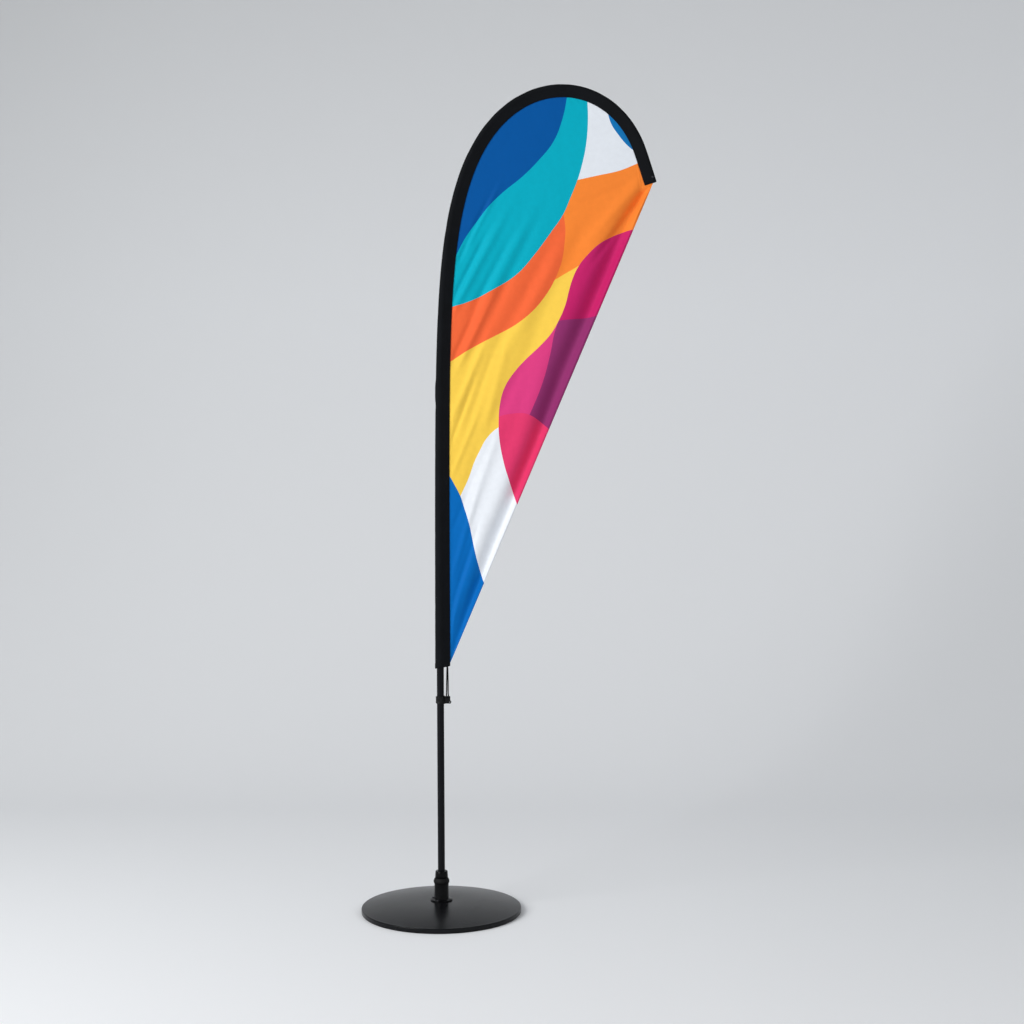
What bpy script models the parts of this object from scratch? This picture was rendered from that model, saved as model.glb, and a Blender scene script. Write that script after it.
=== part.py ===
"""Teardrop flag on a round weighted base.

Metres, +Z up. The origin lies on the floor, on the axis that the flag turns about.
The flag stands in the plane y = 0, and its printed panel reaches towards +X.
"""
import math

import bmesh
import bpy
from mathutils import Matrix, Vector

# ---------------------------------------------------------------- general
GAP = 0.0003                    # left between two pieces that touch
CUT_EXTRA = 0.002               # how far a cutter reaches past the face that it cuts
MERGE = 0.00001

# ---------------------------------------------------------------- base
BASE_RADIUS = 0.225
PAD_THICKNESS = 0.002
PAD_INSET = 0.0015              # the pad ends this far inside the cover's rim
PLATE_THICKNESS = 0.010
PLATE_CHAMFER = 0.0015
COVER_WALL = 0.0015
RIM_ROOM = 0.0002               # between the ballast plate and the cover's edge
RIM_ROUND = 0.0022              # radius of the cover's rounded edge
CROWN_RISE = 0.0179             # how far the cover's seat lies above its edge
SEAT_MARGIN = 0.0030            # of the cover's flat middle outside the housing's foot
DOME_STEPS = 5

# ---------------------------------------------------------------- bearing housing
HOUSING_WALL = 0.0014
HOUSING_LIP = 0.0024            # of the tube above the upper bearing
FOOT_WIDTH = 0.0108             # of the foot outside the tube
FOOT_THICKNESS = 0.0030
HOUSING_FLOOR = 0.0077          # solid bottom, tapped for the centre bolt
FLANGE_SCREWS = 4
FLANGE_SCREW_FIRST = 249.0      # degrees, anticlockwise from +X
FLANGE_SCREW_RADIUS = 0.0020
FLANGE_SCREW_LENGTH = 0.0120
FLANGE_HEAD_RADIUS = 0.0037
FLANGE_HEAD_HEIGHT = 0.0023

BOLT_RADIUS = 0.0050
BOLT_HEAD_RADIUS = 0.0098       # across the corners of the hexagon
BOLT_HEAD_HEIGHT = 0.0064
BOLT_HEAD_ROOM = 0.0010         # room round and above the head in its counterbore

# ---------------------------------------------------------------- bearings
BEARING_SECTION = 0.0060        # from the inner race's bore to the outer race's outside
BEARING_WIDTH = 0.0070
RACE_WALL = 0.0010
BALLS = 7
CAGE_WALL = 0.0010
CAGE_HEIGHT = 0.0024
LEDGE_WIDTH = 0.0026            # ledge in the housing under the lower outer race
LEDGE_HEIGHT = 0.0036           # of the ledge above the housing's floor
BEARING_SPACING = 0.0262        # from the lower bearing's underside to the upper one's

# ---------------------------------------------------------------- rotor hub
HUB_RISE = 0.0201               # of the hub's top above the dust seal
HUB_TAPER = 0.00135             # the hub's top is this much narrower than its shoulder
HUB_REBATE = 0.0015             # depth of the neck inside the dust seal
HUB_CHAMFER = 0.0015
SEAL_HEIGHT = 0.0147
SEAL_BULGE = 0.0020             # of the seal outside the housing
SOCKET_CLEARANCE = 0.0004       # between the mast and its socket, on the radius
STEM_WALL = 0.0018              # of the stem round the socket
STEM_SOLID = 0.0031             # solid stem below the socket's floor
STEM_ROOM = 0.0010              # under the stem
CIRCLIP_THICKNESS = 0.0012
CIRCLIP_DEPTH = 0.0013          # depth of its groove in the stem
CIRCLIP_WIDTH = 0.0030
CIRCLIP_OPENING = 50.0          # degrees

# ---------------------------------------------------------------- mast
MAST_LEAN = math.radians(-0.33)     # heading at the foot, from +Z towards +X
MAST_FOOT_X = 0.0002
BEND_SWING = math.radians(203.2)    # how far the heading would turn in all
BEND_TO_TIP = 0.3638                # from where half of it is reached to the mast's end
BEND_SPREAD = 0.1990
TIP_STRAIGHT = 0.0900               # of the mast's end, which no longer bends
BEND_LENGTH = 1.350                 # of the mast's last part, whose points are closer
BEND_STEP = 0.045
STRAIGHT_STEP = 0.250
MAST_RADIUS = 0.0100
MAST_WALL = 0.0012
SECTION_LENGTH = 0.7125             # four sections make up the mast
SPIGOT_LENGTH = 0.110
SPIGOT_WALL = 0.0012
ROD_RADIUS = 0.0065
ROD_WALL = 0.0022
ROD_SEAT = 0.060                    # how far a rod reaches into the section below it
FERRULE_LENGTH = 0.039
FERRULE_WALL = 0.0010
TIP_FERRULE_LENGTH = 0.030
TIP_CAP_LENGTH = 0.020
TIP_CAP_WALL = 0.0010
TUBE_SIDES = 16
ROD_SIDES = 10

# ---------------------------------------------------------------- sleeve and panel
SLEEVE_FOOT = 0.6420                # length along the mast
SLEEVE_SHORT = 0.0020               # the sleeve ends this far before the four sections
SLEEVE_WALL = 0.0008
SLEEVE_SLANT = 0.0095               # the hem rises this much from mast to panel
SLEEVE_ROOM_FOOT = 0.0038           # from the mast to the sleeve's outer edge, at the hem
SLEEVE_ROOM_FLEX = 0.0015           # the same where the tube ends
SLEEVE_ROOM_TIP = 0.0019            # from the tip's cap to the sleeve's outer edge
SLEEVE_BUMP = 0.0016                # swelling over the ferrule
SLEEVE_BUMP_LENGTH = 0.028
SLEEVE_INSIDE = 0.0278              # from the mast's centre to the panel's seam
SLEEVE_EDGE_FOOT = 0.0058           # half thickness of the sleeve at the panel's seam
SLEEVE_EDGE_TIP = 0.0022
SLEEVE_EDGE_LENGTH = 0.12           # over which the hem's half thickness dies out
SLEEVE_ROUND_SIDES = 10
SLEEVE_EDGE_SIDES = 4
PANEL_THICKNESS = 0.0008
PANEL_RISE = 0.0150                 # of the panel's lowest point above the hem
PANEL_TIP_SHARE = 0.72              # where the free edge meets the sleeve's closed end

RIVET_RADIUS = 0.0032
RIVET_HEIGHT = 0.0016
RIVET_SETBACK = 0.015               # from the sleeve's closed end
TIP_CAP_SETBACK = 0.004

# ---------------------------------------------------------------- collar
COLLAR_HEIGHT = 0.0220
COLLAR_MIDDLE = 0.5970              # height of its middle above the floor
LINER_WALL = 0.0007
BAND_WALL = 0.0020
BAND_RECESS = 0.0006                # between the two raised lips
LIP_HEIGHT = 0.0055
CLAMP_OPENING = 0.0020
EAR_THICKNESS = 0.0040
EAR_TIP_X = 0.0245
EAR_INSET = 0.0008                  # the ears are this much lower than the band
EAR_BEVEL = 0.0012
EYE_X = 0.0235
EYE_DROP = 0.0065                   # below the collar's middle
EYE_RADIUS = 0.0040
EYE_HOLE_RADIUS = 0.0014
SCREW_X = 0.0168
SCREW_RISE = 0.0010                 # of the screw above the collar's middle
SCREW_RADIUS = 0.0016
SCREW_HEAD_RADIUS = 0.0055
SCREW_HEAD_HEIGHT = 0.0035
NUT_RADIUS = 0.0036
NUT_HEIGHT = 0.0030
SCREW_END = 0.0012                  # of the shank past its nut

# ---------------------------------------------------------------- cord and its tab
CORD_RADIUS = 0.0015
EYELET_INSET = 0.0078               # from the sleeve's seam
EYELET_RISE = 0.0160                # above the hem
EYELET_HOLE = 0.0022
EYELET_BARREL = 0.0006
EYELET_FLANGE_RADIUS = 0.0045
EYELET_FLANGE = 0.0007
WEBBING_THICKNESS = 0.0012
WEBBING_BELOW = 0.0075              # below the eyelet's centre
WEBBING_ABOVE = 0.0280
WEBBING_LEFT = 0.0052               # from the eyelet's centre towards the mast
WEBBING_ROOM = 0.0007               # to the sleeve's seam

# ---------------------------------------------------------------- segments
BASE_SEGMENTS = 48
HUB_SEGMENTS = 24
SMALL_SEGMENTS = 12

# ---------------------------------------------------------------- radii that follow
SOCKET_RADIUS = MAST_RADIUS + SOCKET_CLEARANCE
STEM_RADIUS = SOCKET_RADIUS + STEM_WALL
BEARING_BORE = STEM_RADIUS + GAP
BEARING_OUTER = BEARING_BORE + BEARING_SECTION
HOUSING_RADIUS = BEARING_OUTER + GAP + HOUSING_WALL
FOOT_RADIUS = HOUSING_RADIUS + FOOT_WIDTH
FLANGE_SCREW_CIRCLE = (HOUSING_RADIUS + FOOT_RADIUS) / 2.0
SEAT_RADIUS = FOOT_RADIUS + SEAT_MARGIN
SPACER_RADIUS = SEAT_RADIUS - COVER_WALL
BOLT_HOLE = BOLT_RADIUS + GAP
HUB_SHOULDER_RADIUS = BEARING_OUTER
HUB_TOP_RADIUS = HUB_SHOULDER_RADIUS - HUB_TAPER
HUB_NECK_RADIUS = HUB_SHOULDER_RADIUS - HUB_REBATE
SEAL_RADIUS = HOUSING_RADIUS + SEAL_BULGE
TIP_ROD_RADIUS = ROD_RADIUS - ROD_WALL - GAP
TIP_CAP_RADIUS = TIP_ROD_RADIUS + GAP + TIP_CAP_WALL

# ---------------------------------------------------------------- heights that follow
PAD_TOP = PAD_THICKNESS
PLATE_BOTTOM = PAD_TOP + GAP
PLATE_TOP = PLATE_BOTTOM + PLATE_THICKNESS
RIM_TOP = PLATE_TOP + RIM_ROOM + COVER_WALL
SEAT_TOP = RIM_TOP + CROWN_RISE
HOUSING_BOTTOM = SEAT_TOP + GAP
FOOT_TOP = HOUSING_BOTTOM + FOOT_THICKNESS
CAVITY_FLOOR = HOUSING_BOTTOM + HOUSING_FLOOR
LEDGE_TOP = CAVITY_FLOOR + LEDGE_HEIGHT
LOWER_BEARING = LEDGE_TOP + GAP
UPPER_BEARING = LOWER_BEARING + BEARING_SPACING
UPPER_BEARING_TOP = UPPER_BEARING + BEARING_WIDTH
HOUSING_TOP = UPPER_BEARING_TOP + HOUSING_LIP
STEM_BOTTOM = CAVITY_FLOOR + STEM_ROOM
SOCKET_FLOOR = STEM_BOTTOM + STEM_SOLID
SEAL_BOTTOM = HOUSING_TOP + GAP
SEAL_TOP = SEAL_BOTTOM + SEAL_HEIGHT
HUB_TOP = SEAL_TOP + HUB_RISE

# ---------------------------------------------------------------- lengths along the mast
MAST_FOOT = GAP
MAST_JOINT = SECTION_LENGTH
FLEX_JOINT = 2.0 * SECTION_LENGTH
TIP_JOINT = 3.0 * SECTION_LENGTH
MAST_END = 4.0 * SECTION_LENGTH
BEND_MIDDLE = MAST_END - BEND_TO_TIP
BEND_START = MAST_END - BEND_LENGTH
SLEEVE_TIP = MAST_END - SLEEVE_SHORT
PANEL_FOOT = SLEEVE_FOOT + PANEL_RISE

# ---------------------------------------------------------------- the collar's places
LINER_INNER = MAST_RADIUS + GAP
LINER_OUTER = LINER_INNER + LINER_WALL
BAND_INNER = LINER_OUTER + GAP
BAND_OUTER = BAND_INNER + BAND_WALL
EAR_FACE = CLAMP_OPENING / 2.0 + EAR_THICKNESS
CORD_Y = -(EAR_FACE + GAP + CORD_RADIUS)
SCREW_HEAD_Y = CORD_Y - CORD_RADIUS - GAP
SCREW_Z = COLLAR_MIDDLE + SCREW_RISE


# ---------------------------------------------------------------- scene and materials
def clear_scene():
    for old in list(bpy.data.objects):
        bpy.data.objects.remove(old, do_unlink=True)


def new_collection(name):
    collection = bpy.data.collections.new(name)
    bpy.context.scene.collection.children.link(collection)
    return collection


def material(name, colour, roughness, metallic=0.0):
    made = bpy.data.materials.new(name)
    made.use_nodes = True
    shader = made.node_tree.nodes["Principled BSDF"]
    shader.inputs["Base Color"].default_value = (*colour, 1.0)
    shader.inputs["Roughness"].default_value = roughness
    shader.inputs["Metallic"].default_value = metallic
    return made


def place(name, data, finish, parent=None, collection=None):
    """Link a new object, with its own copy of a finish, and hang it on an empty."""
    placed = bpy.data.objects.new(name, data)
    (collection or PARTS).objects.link(placed)
    if finish:
        own = finish.copy()
        own.name = name
        data.materials.append(own)
    hang(placed, parent)
    return placed


def hang(child, parent):
    """Parent an object to an empty, and keep its location in world coordinates."""
    if parent:
        child.parent = parent
        child.matrix_parent_inverse = Matrix.Translation(-parent.location)


def empty(name, location, parent=None):
    made = bpy.data.objects.new(name, None)
    PARTS.objects.link(made)
    made.location = location
    hang(made, parent)
    return made


# ---------------------------------------------------------------- shape helpers
def turned(name, profile, finish, segments, parent=None, closed=True, collection=None):
    """Turn a profile of (radius, height) points about Z.

    The points run outwards over the top, down the outer side and back underneath.
    An open profile starts and ends on the axis.
    """
    mesh = bpy.data.meshes.new(name)
    points = [(radius, 0.0, height) for radius, height in profile]
    edges = [(i, i + 1) for i in range(len(points) - 1)]
    if closed:
        edges.append((len(points) - 1, 0))
    mesh.from_pydata(points, edges, [])
    piece = place(name, mesh, finish, parent, collection)
    screw = piece.modifiers.new("turn", "SCREW")
    screw.steps = segments
    screw.render_steps = segments
    screw.use_merge_vertices = True
    screw.merge_threshold = MERGE
    return piece


def ring(name, inner, outer, bottom, top, finish, segments, parent=None):
    """Plain ring with a square section."""
    profile = [(inner, top), (outer, top), (outer, bottom), (inner, bottom)]
    return turned(name, profile, finish, segments, parent)


def tube(name, points, radius, finish, sides, parent=None, wall=None, cyclic=False):
    """Round bar through points, or a tube when it is given a wall."""
    curve = bpy.data.curves.new(name, "CURVE")
    curve.dimensions = "3D"
    curve.twist_mode = "MINIMUM"
    curve.bevel_depth = radius
    curve.bevel_resolution = (sides - 4) // 2
    curve.use_fill_caps = wall is None and not cyclic
    spline = curve.splines.new("POLY")
    spline.points.add(len(points) - 1)
    for spot, point in zip(spline.points, points):
        spot.co = (*point, 1.0)
    spline.use_cyclic_u = cyclic
    piece = place(name, curve, finish, parent)
    if wall:
        skin = piece.modifiers.new("wall", "SOLIDIFY")
        skin.thickness = wall
        skin.offset = -1.0
    return piece


def outline(name, points, thickness, finish, parent=None):
    """Flat piece from a closed outline in X and Y, centred on its own plane."""
    curve = bpy.data.curves.new(name, "CURVE")
    curve.dimensions = "2D"
    curve.fill_mode = "BOTH"
    curve.extrude = thickness / 2.0
    spline = curve.splines.new("POLY")
    spline.points.add(len(points) - 1)
    for spot, point in zip(spline.points, points):
        spot.co = (*point, 0.0, 1.0)
    spline.use_cyclic_u = True
    return place(name, curve, finish, parent)


def split_ring(name, inner, outer, opening, thickness, finish, parent):
    """Flat ring about Z with an opening, in degrees, on its +X side."""
    start = math.radians(opening / 2.0)
    step = (math.tau - 2.0 * start) / HUB_SEGMENTS
    angles = [start + step * i for i in range(HUB_SEGMENTS + 1)]
    points = [(outer * math.cos(angle), outer * math.sin(angle)) for angle in angles]
    points += [(inner * math.cos(angle), inner * math.sin(angle)) for angle in reversed(angles)]
    return outline(name, points, thickness, finish, parent)


def box(name, low, high, finish, parent=None, collection=None):
    """Box between two corners."""
    mesh = bpy.data.meshes.new(name)
    shape = bmesh.new()
    bmesh.ops.create_cube(shape, size=1.0)
    low, high = Vector(low), Vector(high)
    bmesh.ops.scale(shape, vec=high - low, verts=shape.verts)
    bmesh.ops.translate(shape, vec=(low + high) / 2.0, verts=shape.verts)
    shape.to_mesh(mesh)
    shape.free()
    return place(name, mesh, finish, parent, collection)


def cylinder(name, radius, length, finish, segments, parent=None, collection=None):
    """Cylinder along Z, centred on its object's origin."""
    mesh = bpy.data.meshes.new(name)
    shape = bmesh.new()
    bmesh.ops.create_cone(shape, cap_ends=True, segments=segments,
                          radius1=radius, radius2=radius, depth=length)
    shape.to_mesh(mesh)
    shape.free()
    return place(name, mesh, finish, parent, collection)


def hidden(cutter):
    cutter.hide_render = True
    cutter.display_type = "WIRE"
    return cutter


def combine(piece, tool, operation):
    """Cut a tool from a piece, or join it to the piece."""
    step = piece.modifiers.new(f"{operation.lower()} {tool.name}", "BOOLEAN")
    step.operation = operation
    step.solver = "EXACT"
    step.object = hidden(tool)


def round_cutter(name, radius, length, centre, along="Z", parent=None):
    cutter = cylinder(name, radius, length, None, SMALL_SEGMENTS, parent, CUTTERS)
    cutter.location = centre
    if along == "Y":
        cutter.rotation_euler.x = math.pi / 2.0
    return cutter


# ---------------------------------------------------------------- the mast's line
def heading(length):
    """Angle of the mast from +Z towards +X, at a length from its foot."""
    bent = min(length, MAST_END - TIP_STRAIGHT)
    return MAST_LEAN + BEND_SWING / (1.0 + math.exp((BEND_MIDDLE - bent) / BEND_SPREAD))


def mast_knots():
    """Lengths where the mast's line has its points, closer together in the bend."""
    knots = []
    length = 0.0
    while length < MAST_END + BEND_STEP:
        knots.append(length)
        length += STRAIGHT_STEP if length < BEND_START - MERGE else BEND_STEP
    return knots


def mast_line(knots, step=0.001):
    """Points of the mast's centre at its knots, summed in small steps of its heading."""
    spot = Vector((MAST_FOOT_X, 0.0, SOCKET_FLOOR))
    line = [spot.copy()]
    for start, end in zip(knots, knots[1:]):
        count = round((end - start) / step)
        for i in range(count):
            angle = heading(start + (end - start) * (i + 0.5) / count)
            spot += (end - start) / count * Vector((math.sin(angle), 0.0, math.cos(angle)))
        line.append(spot.copy())
    return line


KNOTS = mast_knots()
LINE = mast_line(KNOTS)


def mast_point(length, inward=0.0, sideways=0.0):
    """Point beside the mast: a length from its foot, inward to the panel, sideways in Y."""
    above = next(i for i, knot in enumerate(KNOTS) if i and knot >= length)
    share = (length - KNOTS[above - 1]) / (KNOTS[above] - KNOTS[above - 1])
    centre = LINE[above - 1].lerp(LINE[above], share)
    angle = heading(length)
    return centre + Vector((inward * math.cos(angle), sideways, -inward * math.sin(angle)))


def eyelet_spot():
    """Centre of the eyelet, beside the sleeve's seam."""
    length = SLEEVE_FOOT + EYELET_RISE
    return Vector((mast_point(length).x + SLEEVE_INSIDE - EYELET_INSET, 0.0,
                   SOCKET_FLOOR + length))


def mast_stations(start, end, extra=()):
    """Both ends and every knot between them, with any extra lengths, in order."""
    inside = [knot for knot in (*KNOTS, *extra) if start + MERGE < knot < end - MERGE]
    return [start, *sorted(inside), end]


def mast_tube(name, start, end, radius, finish, sides, wall=None):
    points = [mast_point(length) for length in mast_stations(start, end)]
    return tube(name, points, radius, finish, sides, MAST, wall)


# ---------------------------------------------------------------- base
def cover_line():
    """Outer line of the cover, from its bolt hole over the dome to the rim's foot."""
    points = [(BOLT_HOLE, SEAT_TOP), (SEAT_RADIUS, SEAT_TOP)]
    dome = BASE_RADIUS - RIM_ROUND - SEAT_RADIUS
    for i in range(1, DOME_STEPS + 1):
        share = i / DOME_STEPS
        points.append((SEAT_RADIUS + dome * share, SEAT_TOP - CROWN_RISE * share ** 2))
    points.append((BASE_RADIUS - 0.3 * RIM_ROUND, RIM_TOP - 0.3 * RIM_ROUND))
    points.append((BASE_RADIUS, RIM_TOP - RIM_ROUND))
    points.append((BASE_RADIUS, PAD_TOP + GAP))
    return points


def flange_screw_spots():
    for i in range(FLANGE_SCREWS):
        angle = math.radians(FLANGE_SCREW_FIRST + 360.0 * i / FLANGE_SCREWS)
        yield FLANGE_SCREW_CIRCLE * math.cos(angle), FLANGE_SCREW_CIRCLE * math.sin(angle)


def make_base():
    pad_radius = BASE_RADIUS - PAD_INSET
    turned("rubber_pad", [(0.0, PAD_TOP), (pad_radius, PAD_TOP), (pad_radius, 0.0), (0.0, 0.0)],
           RUBBER, BASE_SEGMENTS, BASE, closed=False)

    edge = BASE_RADIUS - COVER_WALL - GAP
    head_hole = BOLT_HEAD_RADIUS + BOLT_HEAD_ROOM
    head_roof = PLATE_BOTTOM + GAP + BOLT_HEAD_HEIGHT + GAP
    turned("ballast_plate", [
        (BOLT_HOLE, PLATE_TOP), (edge - PLATE_CHAMFER, PLATE_TOP),
        (edge, PLATE_TOP - PLATE_CHAMFER), (edge, PLATE_BOTTOM),
        (head_hole, PLATE_BOTTOM), (head_hole, head_roof), (BOLT_HOLE, head_roof),
    ], RAW_STEEL, BASE_SEGMENTS, BASE)

    cover = turned("base_cover", cover_line(), BLACK_COAT, BASE_SEGMENTS, BASE, closed=False)
    skin = cover.modifiers.new("wall", "SOLIDIFY")
    skin.thickness = COVER_WALL
    skin.offset = -1.0
    skin.use_even_offset = True

    spacer = ring("mounting_spacer", BOLT_HOLE, SPACER_RADIUS, PLATE_TOP + GAP,
                  SEAT_TOP - COVER_WALL - GAP, RAW_STEEL, HUB_SEGMENTS, BASE)

    cavity = BEARING_OUTER + GAP
    ledge = cavity - LEDGE_WIDTH
    housing = turned("bearing_housing", [
        (cavity, HOUSING_TOP), (HOUSING_RADIUS, HOUSING_TOP),
        (HOUSING_RADIUS, FOOT_TOP), (FOOT_RADIUS - GAP, FOOT_TOP),
        (FOOT_RADIUS, FOOT_TOP - GAP), (FOOT_RADIUS, HOUSING_BOTTOM),
        (BOLT_HOLE, HOUSING_BOTTOM), (BOLT_HOLE, CAVITY_FLOOR),
        (ledge, CAVITY_FLOOR), (ledge, LEDGE_TOP), (cavity, LEDGE_TOP),
    ], BLACK_STEEL, HUB_SEGMENTS, BASE)

    for i, (x, y) in enumerate(flange_screw_spots(), 1):
        cutter = round_cutter(f"flange_screw_hole_{i}", FLANGE_SCREW_RADIUS + GAP,
                              2.0 * FOOT_TOP, (x, y, FOOT_TOP), parent=BASE)
        for drilled in (cover, spacer, housing):
            combine(drilled, cutter, "DIFFERENCE")
        flange_screw(f"flange_screw_{i}", (x, y, FOOT_TOP + GAP))

    centre_bolt()


def flange_screw(name, seat):
    radius, head = FLANGE_SCREW_RADIUS, FLANGE_HEAD_RADIUS
    screw = turned(name, [
        (0.0, FLANGE_HEAD_HEIGHT), (0.6 * head, 0.85 * FLANGE_HEAD_HEIGHT),
        (head, 0.3 * FLANGE_HEAD_HEIGHT), (head, 0.0), (radius, 0.0),
        (radius, -FLANGE_SCREW_LENGTH), (0.0, -FLANGE_SCREW_LENGTH),
    ], ZINC_STEEL, SMALL_SEGMENTS, BASE, closed=False)
    screw.location = seat


def centre_bolt():
    """Hexagon bolt from below, tapped into the housing's floor."""
    bottom = PLATE_BOTTOM + GAP
    head = cylinder("centre_bolt", BOLT_HEAD_RADIUS, BOLT_HEAD_HEIGHT, ZINC_STEEL, 6, BASE)
    head.location.z = bottom + BOLT_HEAD_HEIGHT / 2.0
    start = bottom + BOLT_HEAD_HEIGHT / 2.0
    end = CAVITY_FLOOR - GAP
    shank = cylinder("centre_bolt_shank", BOLT_RADIUS, end - start, None, SMALL_SEGMENTS,
                     BASE, CUTTERS)
    shank.location.z = (start + end) / 2.0
    combine(head, shank, "UNION")


# ---------------------------------------------------------------- bearings
def bearing(label, bottom):
    """Outer race on the base, inner race on the rotor, balls in a cage between them."""
    top = bottom + BEARING_WIDTH
    ring(f"{label}_outer_race", BEARING_OUTER - RACE_WALL, BEARING_OUTER, bottom, top,
         BRIGHT_STEEL, HUB_SEGMENTS, BASE)
    ring(f"{label}_inner_race", BEARING_BORE, BEARING_BORE + RACE_WALL, bottom, top,
         BRIGHT_STEEL, HUB_SEGMENTS, ROTOR)

    pitch = (BEARING_BORE + BEARING_OUTER) / 2.0
    ball_radius = (BEARING_OUTER - BEARING_BORE) / 2.0 - RACE_WALL - GAP
    middle = (bottom + top) / 2.0
    cage = ring(f"{label}_ball_cage", pitch - CAGE_WALL / 2.0, pitch + CAGE_WALL / 2.0,
                middle - CAGE_HEIGHT / 2.0, middle + CAGE_HEIGHT / 2.0,
                BRIGHT_STEEL, 3 * BALLS, CAGES)
    balls = bpy.data.meshes.new(f"{label}_balls")
    shape = bmesh.new()
    for i in range(BALLS):
        angle = math.tau * i / BALLS
        made = bmesh.ops.create_uvsphere(shape, u_segments=8, v_segments=5, radius=ball_radius)
        spot = (pitch * math.cos(angle), pitch * math.sin(angle), middle)
        bmesh.ops.translate(shape, vec=spot, verts=made["verts"])
    shape.to_mesh(balls)
    shape.free()
    combine(cage, place(f"{label}_balls", balls, None, CAGES, CUTTERS), "UNION")


# ---------------------------------------------------------------- rotor
def make_rotor():
    shoulder = BEARING_BORE + 2.0 * RACE_WALL
    clip_top = LOWER_BEARING - GAP
    groove_top = clip_top + GAP
    groove_bottom = clip_top - CIRCLIP_THICKNESS - GAP
    groove = STEM_RADIUS - CIRCLIP_DEPTH
    hub_top = HUB_TOP - HUB_CHAMFER
    mouth = SOCKET_RADIUS + 0.5 * HUB_CHAMFER
    turned("rotor_hub", [
        (0.0, SOCKET_FLOOR), (SOCKET_RADIUS, SOCKET_FLOOR),
        (SOCKET_RADIUS, HUB_TOP - 0.5 * HUB_CHAMFER), (mouth, HUB_TOP),
        (HUB_TOP_RADIUS - HUB_CHAMFER, HUB_TOP), (HUB_TOP_RADIUS, hub_top),
        (HUB_SHOULDER_RADIUS, SEAL_TOP + GAP), (HUB_NECK_RADIUS, SEAL_TOP + GAP),
        (HUB_NECK_RADIUS, SEAL_BOTTOM), (shoulder, SEAL_BOTTOM),
        (shoulder, UPPER_BEARING_TOP + GAP), (STEM_RADIUS, UPPER_BEARING_TOP + GAP),
        (STEM_RADIUS, groove_top), (groove, groove_top),
        (groove, groove_bottom), (STEM_RADIUS, groove_bottom),
        (STEM_RADIUS, STEM_BOTTOM), (0.0, STEM_BOTTOM),
    ], BLACK_STEEL, HUB_SEGMENTS, ROTOR, closed=False)

    seal_inner = HUB_NECK_RADIUS + GAP
    turned("dust_seal", [
        (seal_inner, SEAL_TOP), (HUB_SHOULDER_RADIUS + GAP, SEAL_TOP),
        (0.95 * SEAL_RADIUS, SEAL_TOP - 0.17 * SEAL_HEIGHT),
        (SEAL_RADIUS, SEAL_TOP - 0.48 * SEAL_HEIGHT),
        (0.97 * SEAL_RADIUS, SEAL_TOP - 0.78 * SEAL_HEIGHT),
        (HOUSING_RADIUS + GAP, SEAL_BOTTOM), (seal_inner, SEAL_BOTTOM),
    ], RUBBER, HUB_SEGMENTS, ROTOR)

    ring("bearing_spacer", BEARING_BORE, BEARING_BORE + 2.0 * RACE_WALL,
         LOWER_BEARING + BEARING_WIDTH + GAP, UPPER_BEARING - GAP,
         BRIGHT_STEEL, HUB_SEGMENTS, ROTOR)

    clip_inner = groove + GAP
    clip_outer = clip_inner + CIRCLIP_WIDTH
    clip = split_ring("hub_circlip", clip_inner, clip_outer, CIRCLIP_OPENING,
                      CIRCLIP_THICKNESS, BRIGHT_STEEL, ROTOR)
    clip.location.z = clip_top - CIRCLIP_THICKNESS / 2.0


# ---------------------------------------------------------------- mast
def make_mast():
    mast_tube("mast_tube_lower", MAST_FOOT, MAST_JOINT - GAP / 2.0, MAST_RADIUS,
              BLACK_TUBE, TUBE_SIDES, MAST_WALL)
    flex_top = FLEX_JOINT - FERRULE_LENGTH / 2.0 + FERRULE_LENGTH - GAP
    mast_tube("mast_tube_middle", MAST_JOINT + GAP / 2.0, flex_top, MAST_RADIUS,
              BLACK_TUBE, TUBE_SIDES, MAST_WALL)
    spigot_radius = MAST_RADIUS - MAST_WALL - GAP
    mast_tube("mast_joint_spigot", MAST_JOINT - SPIGOT_LENGTH / 2.0,
              MAST_JOINT + SPIGOT_LENGTH / 2.0, spigot_radius, RAW_STEEL,
              TUBE_SIDES, SPIGOT_WALL)
    mast_tube("mast_ferrule", FLEX_JOINT - FERRULE_LENGTH / 2.0,
              FLEX_JOINT + FERRULE_LENGTH / 2.0, MAST_RADIUS + GAP + FERRULE_WALL,
              BLACK_STEEL, TUBE_SIDES, FERRULE_WALL)
    bush_radius = MAST_RADIUS - MAST_WALL - GAP
    rod_foot = flex_top - ROD_SEAT
    mast_tube("mast_rod_bush", rod_foot, flex_top, bush_radius, BLACK_PLASTIC,
              TUBE_SIDES, bush_radius - ROD_RADIUS - GAP)
    mast_tube("mast_rod_upper", rod_foot, TIP_JOINT, ROD_RADIUS, GLASS_FIBRE,
              ROD_SIDES, ROD_WALL)
    mast_tube("tip_ferrule", TIP_JOINT - TIP_FERRULE_LENGTH, TIP_JOINT,
              ROD_RADIUS + GAP + FERRULE_WALL, BLACK_STEEL, ROD_SIDES, FERRULE_WALL)
    cap_end = SLEEVE_TIP - SLEEVE_WALL - TIP_CAP_SETBACK
    mast_tube("mast_rod_tip", TIP_JOINT - ROD_SEAT, cap_end - TIP_CAP_WALL - GAP,
              TIP_ROD_RADIUS, GLASS_FIBRE, ROD_SIDES)
    tip_cap(cap_end)


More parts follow.
